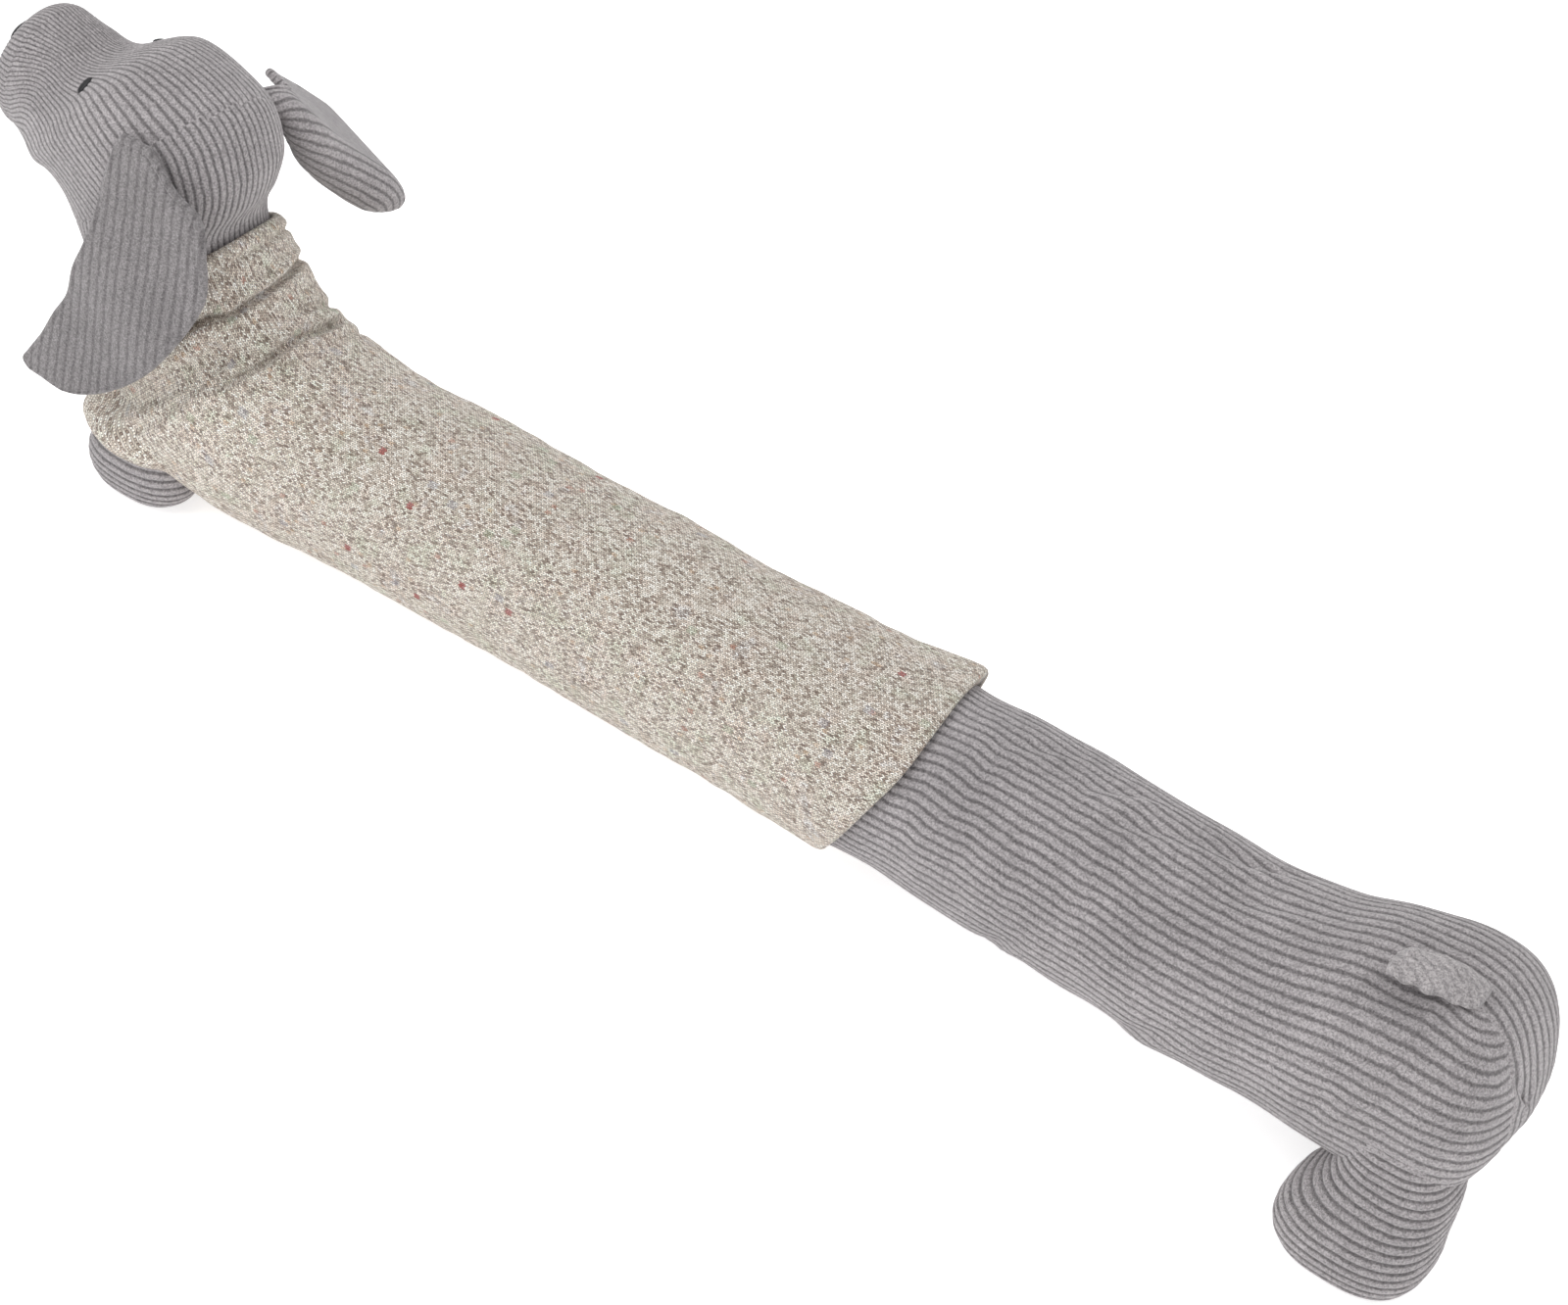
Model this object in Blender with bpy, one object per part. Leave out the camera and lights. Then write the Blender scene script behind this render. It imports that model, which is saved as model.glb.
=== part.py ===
# Draught excluder: a long stuffed corduroy dog lying in a knitted jumper with a rolled neck.
# The head points towards -X, the dog's own left side is -Y, and the soles stand on z = 0.

import math

import bpy
import numpy as np

for old in list(bpy.data.objects):
    bpy.data.objects.remove(old, do_unlink=True)

CM = 0.01
ORIGIN_X = -0.34
ORIGIN_Y = 2.93
SEAM_GAP = 0.03

# Rows of the skin along the back, from rump to muzzle, all in centimetres.
# top_x, top_z: the back. under_x, under_z: the belly, chest and throat.
# mid_y: sideways place. half_width: at the widest. widest: its height, 0 under to 1 top.
SPINE = [
    (39.6, 14.8, 41.4, 3.5, -0.30, 5.5, 0.50),
    (37.0, 14.6, 37.6, 3.4, -0.45, 5.5, 0.50),
    (33.5, 13.3, 33.5, 3.4, -0.45, 5.2, 0.50),
    (29.0, 12.4, 29.0, 2.9, -0.30, 5.0, 0.50),
    (22.0, 12.3, 22.0, 2.6, 0.15, 4.95, 0.50),
    (12.4, 11.9, 10.6, 2.2, 0.50, 4.80, 0.50),
    (0.0, 11.4, -0.6, 1.8, 0.65, 4.70, 0.50),
    (-12.0, 11.1, -12.0, 1.5, 0.70, 4.70, 0.50),
    (-20.6, 11.0, -21.5, 1.2, 0.60, 4.75, 0.48),
    (-24.6, 11.4, -29.0, 1.0, 0.35, 4.80, 0.48),
    (-26.9, 12.5, -34.0, 2.4, 0.10, 4.80, 0.50),
    (-28.5, 14.0, -36.6, 5.2, -0.05, 4.75, 0.50),
    (-29.7, 15.8, -37.6, 9.0, -0.10, 4.55, 0.52),
    (-30.0, 17.5, -38.1, 12.0, -0.15, 4.45, 0.52),
    (-29.2, 19.4, -39.0, 13.6, -0.05, 4.55, 0.54),
    (-28.9, 21.6, -39.8, 14.7, 0.05, 4.65, 0.55),
    (-30.3, 24.2, -40.6, 15.4, 0.15, 4.65, 0.56),
    (-33.3, 25.4, -41.3, 15.8, 0.20, 4.45, 0.56),
    (-36.5, 24.4, -42.1, 16.1, 0.20, 4.00, 0.52),
    (-39.4, 23.7, -42.8, 16.8, 0.25, 3.40, 0.50),
    (-42.0, 23.7, -43.6, 17.2, 0.30, 3.10, 0.50),
]
HEM = 5.0
NECK_SEAM = 12.0
COLLAR_RIM = 13.0
SKIN_SQUARENESS = 2.15
STATIONS_PER_ROW = 2
SIDES = 32

# Ends of the skin: depth beyond the last row, roundness of the end, squareness of the section.
RUMP_END = (3.8, 2.9, 2.4)
MUZZLE_END = (2.25, 2.3, 2.1)
END_RINGS = (0.25, 0.5, 0.7, 0.84, 0.93, 0.985)

# Hind leg cut in one with the body, and front paw: level rings from the sole upwards.
# height, front_x, rear_x, outer_y, inner_y
HIND_LEG = [
    (0.0, 37.7, 42.9, -6.7, -2.4),
    (0.6, 36.9, 43.5, -7.3, -1.8),
    (1.6, 36.5, 43.8, -7.5, -1.5),
    (3.0, 36.8, 43.8, -7.3, -1.4),
    (4.6, 37.9, 43.8, -6.7, -1.3),
    (6.2, 38.4, 43.7, -6.1, -1.2),
    (8.6, 38.4, 43.2, -5.8, -1.0),
]
FRONT_PAW = [
    (0.0, -36.6, -32.2, -4.4, -1.5),
    (0.6, -37.3, -31.5, -4.9, -1.0),
    (1.6, -37.6, -31.0, -5.2, -0.9),
    (2.8, -37.4, -31.0, -5.2, -0.9),
    (4.4, -36.5, -31.3, -4.7, -1.1),
]
FAR_LEG_FORWARD = -1.6
LEG_MIDDLE_Y = -1.1
LEG_SQUARENESS = 2.6
PAW_SQUARENESS = 2.3
LEG_SIDES = 28

# Jumper from the waist hem to the rolled neck. station: row of SPINE. stand: its outside off the skin.
JUMPER = [
    (5.0, 0.42),
    (5.1, 0.58),
    (5.3, 0.48),
    (5.75, 0.38),
    (6.5, 0.38),
    (7.25, 0.38),
    (8.0, 0.42),
    (8.75, 0.45),
    (9.3, 0.50),
    (9.65, 0.75),
    (9.9, 0.85),
    (10.1, 0.50),
    (10.4, 0.72),
    (10.7, 0.92),
    (10.95, 0.80),
    (11.15, 0.50),
    (11.45, 0.65),
    (11.8, 0.75),
    (12.05, 0.50),
    (12.35, 0.60),
    (12.7, 0.70),
    (12.9, 0.62),
    (13.0, 0.42),
]

# Near ear hanging over the cheek. height, front_x, rear_x
NEAR_EAR = [
    (23.45, -33.4, -31.9),
    (22.8, -33.8, -31.0),
    (21.8, -34.1, -29.9),
    (20.9, -34.3, -28.3),
    (19.0, -34.6, -27.8),
    (17.0, -35.1, -27.6),
    (15.2, -35.8, -28.2),
    (13.5, -36.1, -29.1),
    (12.0, -36.9, -30.1),
    (10.6, -37.5, -31.4),
    (9.4, -38.2, -32.9),
    (8.6, -38.6, -34.4),
    (8.25, -37.9, -35.7),
]
EAR_TOP_Y = -4.18
EAR_TOP_Z = 23.4
EAR_SPLAY = 0.2
EAR_WRAP = 0.012
EAR_WRAP_X = -33.5
EAR_HALF = 0.24
EAR_RIM_SHARE = 0.55
EAR_COLUMNS = 9

# Far ear lifted out sideways with its rear edge rolled under.
# along, edge_x, edge_y, edge_z, flap_depth, roll_radius
FAR_EAR = [
    (0.00, -32.1, 4.50, 23.1, 1.6, 0.35),
    (0.12, -31.0, 5.40, 22.2, 2.6, 0.65),
    (0.32, -30.1, 6.4, 20.6, 4.6, 0.95),
    (0.52, -29.8, 7.7, 18.6, 6.0, 1.05),
    (0.72, -29.3, 9.0, 16.7, 6.8, 1.05),
    (0.88, -28.8, 10.1, 15.2, 6.6, 1.00),
    (1.00, -28.4, 11.2, 14.0, 5.4, 0.80),
]
FLAP_WAY = (-0.95, 0.25, 0.08)
# Places of a row's points: shares of the flap, then shares of the half turn of the roll.
FLAP_PLACES = (1.0, 0.75, 0.5, 0.25, 0.0)
ROLL_PLACES = (0.25, 0.5, 0.75, 1.0)

# Patches of satin stitch on the head. half_long, half_wide, rise
EYE = (0.50, 0.21, 0.14)
EYE_ROW = 18.18
EYE_ANGLE = 42.0
EYE_LEAN = -16.0
NOSE = (0.95, 0.60, 0.18)
NOSE_SIZE = 0.38
STITCH_SIDES = 16
# Rings of a patch: share of its outline, share of its rise.
STITCH_DOME = [(1.0, 0.0), (1.0, 0.4), (0.82, 0.75), (0.45, 1.0)]

# Tail stub lying forwards on the rump: from base to tip. x, y, z, half_width, half_height
TAIL = [
    (41.4, -1.30, 14.75, 0.60, 0.32),
    (40.8, -1.40, 14.95, 0.95, 0.42),
    (39.9, -1.60, 15.10, 1.00, 0.45),
    (38.9, -1.85, 15.10, 0.95, 0.42),
    (38.1, -2.00, 15.00, 0.75, 0.38),
    (37.6, -2.10, 14.90, 0.35, 0.24),
]
TAIL_SIDES = 14
TAIL_SQUARENESS = 2.4


def along(rows, place):
    """Smooth values of a table at fractional row numbers."""
    rows = np.asarray(rows, float)
    last = len(rows) - 1
    place = np.clip(np.asarray(place, float), 0, last)
    low = np.minimum(place.astype(int), last - 1)
    part = (place - low)[:, None]
    near, far = rows[low], rows[low + 1]
    before = np.where((low > 0)[:, None], rows[np.maximum(low - 1, 0)], 2 * near - far)
    after = np.where((low < last - 1)[:, None], rows[np.minimum(low + 2, last)], 2 * far - near)
    slope = far - before
    bend = 2 * before - 5 * near + 4 * far - after
    turn = 3 * near - before - 3 * far + after
    return near + 0.5 * (slope * part + bend * part**2 + turn * part**3)


def round_box(angles, squareness):
    """Cosines and sines of a squared circle."""
    cosine, sine = np.cos(angles), np.sin(angles)
    size = (np.abs(cosine) ** squareness + np.abs(sine) ** squareness) ** (-1 / squareness)
    return cosine * size, sine * size


def skin_ring(row, stand=0.0, squareness=SKIN_SQUARENESS, size=1.0, shift=(0.0, 0.0, 0.0)):
    """One ring of the skin, starting at the back and passing the dog's left side first."""
    top_x, top_z, under_x, under_z, mid_y, half_width, widest = row
    top = np.array([top_x, mid_y, top_z])
    under = np.array([under_x, mid_y, under_z])
    middle = under + widest * (top - under)
    way = (top - under) / np.linalg.norm(top - under)
    up = np.linalg.norm(top - middle) + stand
    down = np.linalg.norm(middle - under) + stand
    angles = np.linspace(0, 2 * math.pi, SIDES, endpoint=False)
    high, side = round_box(angles, squareness)
    reach = np.where(high > 0, up, down) * high * size
    across = -(half_width + stand) * side * size
    return middle + np.array(shift) + reach[:, None] * way + across[:, None] * np.array([0.0, 1.0, 0.0])


def end_rings(row, forward, end, stand=0.0):
    """Rings that round off the rump or the muzzle, from the last full ring outwards."""
    depth, roundness, squareness = end
    rings = []
    for size in reversed(END_RINGS):
        out = depth * (1 - size**roundness) ** (1 / roundness)
        rings.append(skin_ring(row, stand, squareness, size, (forward * out, 0.0, 0.0)))
    return rings


def join_rings(rings, capped=True):
    """Points and faces of rings joined in order, with a fan at each end or the last joined to the first."""
    count = len(rings[0])
    points = np.vstack(rings)
    faces = []
    spans = len(rings) - 1 if capped else len(rings)
    for step in range(spans):
        here = step * count
        there = ((step + 1) % len(rings)) * count
        for side in range(count):
            turn = (side + 1) % count
            faces.append((here + side, here + turn, there + turn, there + side))
    if capped:
        first, second = len(points), len(points) + 1
        points = np.vstack([points, rings[0].mean(axis=0), rings[-1].mean(axis=0)])
        last = (len(rings) - 1) * count
        for side in range(count):
            turn = (side + 1) % count
            faces.append((turn, side, first))
            faces.append((last + side, last + turn, second))
    return points, faces


def cloth(name, colour, rough):
    """Plain cloth surface."""
    made = bpy.data.materials.new(name)
    made.use_nodes = True
    surface = made.node_tree.nodes["Principled BSDF"]
    surface.inputs["Base Color"].default_value = (*colour, 1.0)
    surface.inputs["Roughness"].default_value = rough
    return made


def solid(name, points, faces, material, helper=False):
    """Object of these points, turned to face outwards."""
    placed = (np.asarray(points) - np.array([ORIGIN_X, ORIGIN_Y, 0.0])) * CM
    volume = 0.0
    for face in faces:
        corner = placed[list(face)]
        for step in range(1, len(face) - 1):
            volume += np.dot(corner[0], np.cross(corner[step], corner[step + 1]))
    if volume < 0:
        faces = [tuple(reversed(face)) for face in faces]
    mesh = bpy.data.meshes.new(name)
    mesh.from_pydata(placed.tolist(), [], faces)
    mesh.polygons.foreach_set("use_smooth", [True] * len(faces))
    mesh.materials.append(material)
    made = bpy.data.objects.new(name, mesh)
    bpy.context.scene.collection.objects.link(made)
    if helper:
        made.hide_render = True
        made.display_type = "WIRE"
    return made


def boolean(target, helper, operation):
    """Joins or cuts with a helper."""
    change = target.modifiers.new(helper.name, "BOOLEAN")
    change.operation = operation
    change.solver = "EXACT"
    change.object = helper


def level_rings(rows, squareness, mirror=None, forward=0.0):
    """Level rings of a leg or paw, mirrored about a sideways middle when one is given."""
    angles = np.linspace(0, 2 * math.pi, LEG_SIDES, endpoint=False)
    cosine, sine = round_box(angles, squareness)
    rings = []
    for height, front, rear, outer, inner in rows:
        x = (front + rear) / 2 + (rear - front) / 2 * cosine + forward
        y = (outer + inner) / 2 + (inner - outer) / 2 * sine
        if mirror is not None:
            y = 2 * mirror - y
        rings.append(np.stack([x, y, np.full_like(x, height)], axis=1))
    return rings


def thick_sheet(middle, half):
    """Points and faces of a padded sheet about a grid of middle points, thinning to its rim."""
    down = np.gradient(middle, axis=0)
    across = np.gradient(middle, axis=1)
    normal = np.cross(down, across)
    normal /= np.linalg.norm(normal, axis=2, keepdims=True)
    rows, columns = middle.shape[:2]
    thickness = np.full((rows, columns, 1), half)
    thickness[0] = thickness[-1] = half * EAR_RIM_SHARE
    thickness[:, 0] = thickness[:, -1] = half * EAR_RIM_SHARE
    points = np.vstack([
        (middle + normal * thickness).reshape(-1, 3),
        (middle - normal * thickness).reshape(-1, 3),
    ])
    offset = rows * columns
    faces = []
    for row in range(rows - 1):
        for column in range(columns - 1):
            corner = row * columns + column
            face = (corner, corner + 1, corner + columns + 1, corner + columns)
            faces.append(face)
            faces.append(tuple(offset + index for index in reversed(face)))
    rim = [column for column in range(columns)]
    rim += [row * columns + columns - 1 for row in range(1, rows)]
    rim += [(rows - 1) * columns + column for column in range(columns - 2, -1, -1)]
    rim += [row * columns for row in range(rows - 2, 0, -1)]
    for place, index in enumerate(rim):
        after = rim[(place + 1) % len(rim)]
        faces.append((after, index, offset + index, offset + after))
    return points, faces


def near_ear_middle():
    """Grid of the near ear: rows down its length, columns from its front edge to its rear edge."""
    grid = []
    for height, front, rear in NEAR_EAR:
        x = np.linspace(front, rear, EAR_COLUMNS)
        y = EAR_TOP_Y - EAR_SPLAY * (EAR_TOP_Z - height) + EAR_WRAP * (x - EAR_WRAP_X) ** 2
        grid.append(np.stack([x, y, np.full_like(x, height)], axis=1))
    return np.array(grid)


def far_ear_middle():
    """Grid of the far ear: each row runs in along the flap to the roll at its rear edge."""
    way = np.array(FLAP_WAY) / np.linalg.norm(FLAP_WAY)
    edges = np.array([row[1:4] for row in FAR_EAR])
    length = np.gradient(edges, axis=0)
    grid = []
    for (_, _, _, _, depth, roll), edge, run in zip(FAR_EAR, edges, length):
        run = run / np.linalg.norm(run)
        flap = way - np.dot(way, run) * run
        flap /= np.linalg.norm(flap)
        under = np.cross(flap, run)
        centre = edge + flap * roll + under * roll
        row = [centre - under * roll + flap * depth * part for part in FLAP_PLACES]
        for turn in ROLL_PLACES:
            angle = turn * math.pi
            row.append(centre - under * roll * math.cos(angle) - flap * roll * math.sin(angle))
        grid.append(row)
    return np.array(grid)


def skin_place(row, angle, size=1.0, out=0.0):
    """One point of the skin at an angle from the back towards the dog's left side."""
    top_x, top_z, under_x, under_z, mid_y, half_width, widest = row
    top = np.array([top_x, mid_y, top_z])
    under = np.array([under_x, mid_y, under_z])
    middle = under + widest * (top - under)
    high, side = round_box(np.array([angle]), SKIN_SQUARENESS)
    reach = (top - middle if high[0] > 0 else middle - under) * high[0] * size
    return middle + reach + np.array([-out, -half_width * side[0] * size, 0.0])


def stitch_patch(middle, normal, long_way, sizes):
    """Points and faces of a low dome of satin stitch standing just clear of the skin."""
    half_long, half_wide, rise = sizes
    normal = normal / np.linalg.norm(normal)
    long_way = long_way - np.dot(long_way, normal) * normal
    long_way = long_way / np.linalg.norm(long_way)
    wide_way = np.cross(normal, long_way)
    angles = np.linspace(0, 2 * math.pi, STITCH_SIDES, endpoint=False)
    rings = []
    for share, height in STITCH_DOME:
        across = np.outer(np.cos(angles) * half_long * share, long_way)
        along_it = np.outer(np.sin(angles) * half_wide * share, wide_way)
        rings.append(middle + normal * (SEAM_GAP + rise * height) + across + along_it)
    return join_rings(rings)


cord = cloth("corduroy", (0.33, 0.32, 0.33), 0.95)
knit = cloth("knit", (0.62, 0.57, 0.50), 0.95)
thread = cloth("satin_stitch", (0.012, 0.012, 0.014), 0.5)

last_row = len(SPINE) - 1
body_places = np.arange(0, NECK_SEAM + 1e-6, 1 / STATIONS_PER_ROW)
head_places = np.arange(NECK_SEAM, last_row + 1e-6, 1 / STATIONS_PER_ROW)

body_rings = end_rings(SPINE[0], 1.0, RUMP_END)[::-1]
body_rings += [skin_ring(row) for row in along(SPINE, body_places)]
body = solid("body", *join_rings(body_rings), cord)

hind_legs = (("near_hind_leg", None, 0.0), ("far_hind_leg", LEG_MIDDLE_Y, FAR_LEG_FORWARD))
for label, mirror, forward in hind_legs:
    leg_rings = level_rings(HIND_LEG, LEG_SQUARENESS, mirror, forward)
    leg = solid(label, *join_rings(leg_rings), cord, helper=True)
    boolean(body, leg, "UNION")

head_rings = [skin_ring(row) for row in along(SPINE, head_places)]
head_rings[0] = head_rings[0] + np.array([-0.01, 0.0, SEAM_GAP])
head_rings += end_rings(SPINE[last_row], -1.0, MUZZLE_END)
solid("head", *join_rings(head_rings), cord)

outside = np.array(JUMPER)
outer_rings = [
    skin_ring(row, stand) for row, stand in zip(along(SPINE, outside[:, 0]), outside[:, 1])
]
inside_places = np.arange(HEM, COLLAR_RIM + 1e-6, 1 / STATIONS_PER_ROW)
inner_rings = [skin_ring(row, SEAM_GAP) for row in along(SPINE, inside_places[::-1])]
solid("jumper", *join_rings(outer_rings + inner_rings, capped=False), knit)

allowance_rings = [
    skin_ring(row, stand + SEAM_GAP) for row, stand in zip(along(SPINE, outside[:, 0]), outside[:, 1])
]
allowance = solid("jumper_allowance", *join_rings(allowance_rings), knit, helper=True)
for label, mirror in (("left_front_paw", None), ("right_front_paw", 0.0)):
    paw = solid(label, *join_rings(level_rings(FRONT_PAW, PAW_SQUARENESS, mirror)), cord)
    boolean(paw, allowance, "DIFFERENCE")

skin_rings = end_rings(SPINE[0], 1.0, RUMP_END, SEAM_GAP)[::-1]
skin_places = np.arange(0, last_row + 1e-6, 1 / STATIONS_PER_ROW)
skin_rings += [skin_ring(row, SEAM_GAP) for row in along(SPINE, skin_places)]
skin_allowance = solid("skin_allowance", *join_rings(skin_rings), cord, helper=True)

for label, middle in (("left_ear", near_ear_middle()), ("right_ear", far_ear_middle())):
    ear = solid(label, *thick_sheet(middle, EAR_HALF), cord)
    boolean(ear, skin_allowance, "DIFFERENCE")

tail_rings = []
tail_angles = np.linspace(0, 2 * math.pi, TAIL_SIDES, endpoint=False)
tail_high, tail_side = round_box(tail_angles, TAIL_SQUARENESS)
for x, y, z, half_width, half_height in TAIL:
    level = z + tail_high * half_height
    tail_rings.append(np.stack([np.full(TAIL_SIDES, x), y + tail_side * half_width, level], axis=1))
tail = solid("tail", *join_rings(tail_rings), cord)
boolean(tail, skin_allowance, "DIFFERENCE")

STEP = 0.02
eye_angle = math.radians(EYE_ANGLE)
for label, way in (("left_eye", 1.0), ("right_eye", -1.0)):
    eye_row = along(SPINE, [EYE_ROW])[0]
    fore_row = along(SPINE, [EYE_ROW + STEP])[0]
    middle = skin_place(eye_row, way * eye_angle)
    forward = skin_place(fore_row, way * eye_angle) - middle
    downward = skin_place(eye_row, way * (eye_angle + STEP)) - middle
    forward = forward / np.linalg.norm(forward)
    downward = downward / np.linalg.norm(downward)
    lean = math.radians(EYE_LEAN)
    long_way = math.sin(lean) * forward + math.cos(lean) * downward
    solid(label, *stitch_patch(middle, way * np.cross(forward, downward), long_way, EYE), thread)

tip = along(SPINE, [last_row])[0]
depth, roundness, _ = MUZZLE_END


def muzzle_tip(size, angle):
    """One point of the rounded muzzle end."""
    return skin_place(tip, angle, size, depth * (1 - size**roundness) ** (1 / roundness))


nose_middle = muzzle_tip(NOSE_SIZE, 0.0)
nose_up = muzzle_tip(NOSE_SIZE + STEP, 0.0) - nose_middle
nose_side = muzzle_tip(NOSE_SIZE, STEP) - muzzle_tip(NOSE_SIZE, -STEP)
solid("nose", *stitch_patch(nose_middle, np.cross(nose_side, nose_up), nose_side, NOSE), thread)
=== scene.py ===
import math

import bpy
import numpy as np
from mathutils import Matrix, Vector


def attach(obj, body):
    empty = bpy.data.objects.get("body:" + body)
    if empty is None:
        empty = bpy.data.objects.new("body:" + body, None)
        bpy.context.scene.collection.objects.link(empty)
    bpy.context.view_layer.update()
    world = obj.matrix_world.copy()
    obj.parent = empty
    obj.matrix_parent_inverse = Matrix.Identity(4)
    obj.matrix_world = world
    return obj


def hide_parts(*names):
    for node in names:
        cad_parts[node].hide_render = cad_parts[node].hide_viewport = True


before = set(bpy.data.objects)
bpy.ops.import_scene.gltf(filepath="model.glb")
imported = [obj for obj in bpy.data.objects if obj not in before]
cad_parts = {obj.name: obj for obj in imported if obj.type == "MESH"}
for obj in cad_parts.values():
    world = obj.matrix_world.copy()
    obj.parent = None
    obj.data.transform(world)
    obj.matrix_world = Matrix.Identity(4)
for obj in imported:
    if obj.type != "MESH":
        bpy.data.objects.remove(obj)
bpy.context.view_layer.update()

# Metres in a centimetre, and the point of the tables that lies at the frame's origin.
CM = 0.01
ORIGIN_X = -0.34
ORIGIN_Y = 2.93

# Rows of the skin along the back, from rump to muzzle.
# top_x, top_z, under_x, under_z, mid_y, half_width, widest
SPINE = [
    (39.6, 14.8, 41.4, 3.5, -0.30, 5.5, 0.50),
    (37.0, 14.6, 37.6, 3.4, -0.45, 5.5, 0.50),
    (33.5, 13.3, 33.5, 3.4, -0.45, 5.2, 0.50),
    (29.0, 12.4, 29.0, 2.9, -0.30, 5.0, 0.50),
    (22.0, 12.3, 22.0, 2.6, 0.15, 4.95, 0.50),
    (12.4, 11.9, 10.6, 2.2, 0.50, 4.80, 0.50),
    (0.0, 11.4, -0.6, 1.8, 0.65, 4.70, 0.50),
    (-12.0, 11.1, -12.0, 1.5, 0.70, 4.70, 0.50),
    (-20.6, 11.0, -21.5, 1.2, 0.60, 4.75, 0.48),
    (-24.6, 11.4, -29.0, 1.0, 0.35, 4.80, 0.48),
    (-26.9, 12.5, -34.0, 2.4, 0.10, 4.80, 0.50),
    (-28.5, 14.0, -36.6, 5.2, -0.05, 4.75, 0.50),
    (-29.7, 15.8, -37.6, 9.0, -0.10, 4.55, 0.52),
    (-30.0, 17.5, -38.1, 12.0, -0.15, 4.45, 0.52),
    (-29.2, 19.4, -39.0, 13.6, -0.05, 4.55, 0.54),
    (-28.9, 21.6, -39.8, 14.7, 0.05, 4.65, 0.55),
    (-30.3, 24.2, -40.6, 15.4, 0.15, 4.65, 0.56),
    (-34.6, 25.3, -41.3, 15.8, 0.25, 4.45, 0.56),
    (-38.3, 23.6, -42.1, 16.1, 0.00, 3.60, 0.52),
    (-40.3, 23.9, -42.8, 16.8, -0.05, 3.20, 0.50),
    (-42.0, 24.3, -43.5, 17.2, 0.00, 3.00, 0.50),
]
LAST_ROW = len(SPINE) - 1
HEM = 5.0
NECK_SEAM = 12.0
SKIN_SQUARENESS = 2.15

# Ends of the skin: depth beyond the last row, roundness of the end, squareness of the section.
RUMP_END = (3.8, 2.9, 2.4)
MUZZLE_END = (2.0, 2.3, 2.1)

# Power that spaces the rings of a rounded end.
END_SPACING = 0.9

# Corduroy: ribs round the body and the head, points across a rib, rib height on the body and
# on the head, and the share of a rib's height that lies below the skin.
BODY_RIBS = 60
HEAD_RIBS = 76
RIB_POINTS = 6
RIB_HEIGHT = 0.062
HEAD_RIB_HEIGHT = RIB_HEIGHT * 0.75
RIB_LEVEL = 0.62

# Spacing of rings: on the bare flank, under the jumper, and on the head.
FLANK_STEP = 0.46
COVERED_STEP = 2.2
HEAD_STEP = 0.17

# Ribs down the middle of the rump: their pitch, and how many ribs lower than on the flank they sit.
RUMP_PITCH = 0.53
RUMP_DROP = 2.5

# Level ribs of legs and paws: pitch, height, and the rib's number at one height above the floor.
LEG_PITCH = 0.477
LEG_RIB_HEIGHT = 0.10
LEG_PHASE = (9.15, 15.0)

# Smooth unevenness: seed, number of waves, longest, shortest, height or angle in radians.
RIBS_WANDER = (5, 5, 16.0, 5.0, 0.007)
RIBS_RAGGED = (6, 7, 4.5, 1.6, 0.012)
BODY_UNEVEN = (11, 7, 11.0, 4.0, 0.055)
LEG_UNEVEN = (21, 5, 7.0, 3.0, 0.035)
HEAD_UNEVEN = (31, 6, 9.0, 4.0, 0.04)
KNIT_UNEVEN = (41, 8, 12.0, 4.0, 0.05)
KNIT_UNEVEN_FINE = (43, 8, 3.5, 1.5, 0.02)
TAIL_UNEVEN = (51, 5, 2.0, 0.7, 0.06)

# Creases of the stuffed flank. row, angle_deg, direction_deg, length, width, depth
# Each swells up again beside itself, this many widths away and by this share of its depth.
CREASE_SWELL = 1.6
SWELL_SHARE = 0.55
FLANK_RADIUS = 5.2
CREASES = [
    (0.42, 26.0, 0.0, 1.9, 0.80, 0.55),
    (0.92, 86.0, 62.0, 1.6, 0.50, 0.16),
    (3.72, 3.0, 32.0, 1.9, 0.42, 0.22),
    (3.95, -14.0, 32.0, 1.6, 0.45, 0.25),
    (2.96, -22.0, 24.0, 2.6, 0.50, 0.34),
    (2.60, 4.0, 20.0, 2.2, 0.50, 0.16),
    (4.45, -10.0, 35.0, 1.6, 0.45, 0.18),
    (4.70, 60.0, 70.0, 1.3, 0.40, 0.14),
    (4.20, 118.0, 60.0, 2.0, 0.45, 0.16),
    (3.10, 110.0, 40.0, 2.4, 0.55, 0.16),
]

# Share by which the rump's end is drawn in towards the legs.
RUMP_TUCK = 0.45

# Seam down the rump, beside the middle: its place as a share of the half width, its width,
# how deep it is pulled in, and the levels between which it fades out at the top.
RUMP_SEAM = 0.21
SEAM_WIDTH = 0.11
SEAM_DEPTH = 0.10
SEAM_FADE = (-0.97, -0.85)

# Seam between the face and the back of the head: width in rows, depth, and its row by angle.
HEAD_SEAM_WIDTH = 0.045
HEAD_SEAM_DEPTH = 0.05
HEAD_SEAM = [
    (-180.0, 14.6),
    (-110.0, 14.9),
    (-70.0, 15.6),
    (-26.0, 15.9),
    (13.0, 16.04),
    (44.0, 16.12),
    (58.0, 16.12),
    (75.0, 15.7),
    (110.0, 14.9),
    (180.0, 14.6),
]

# Ribs on the sides of the face lie in sloping planes: what x, y and z count for, rib pitch,
# the row at whose side they agree with the ribs' count round the head, and the rows between
# which the planes give way to ribs along the muzzle.
FACE_SLOPE = (0.485, 0.0, 0.875)
FACE_PITCH = 0.42
FACE_ROW = 17.0
FACE_FADE = (18.4, 20.3)

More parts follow.
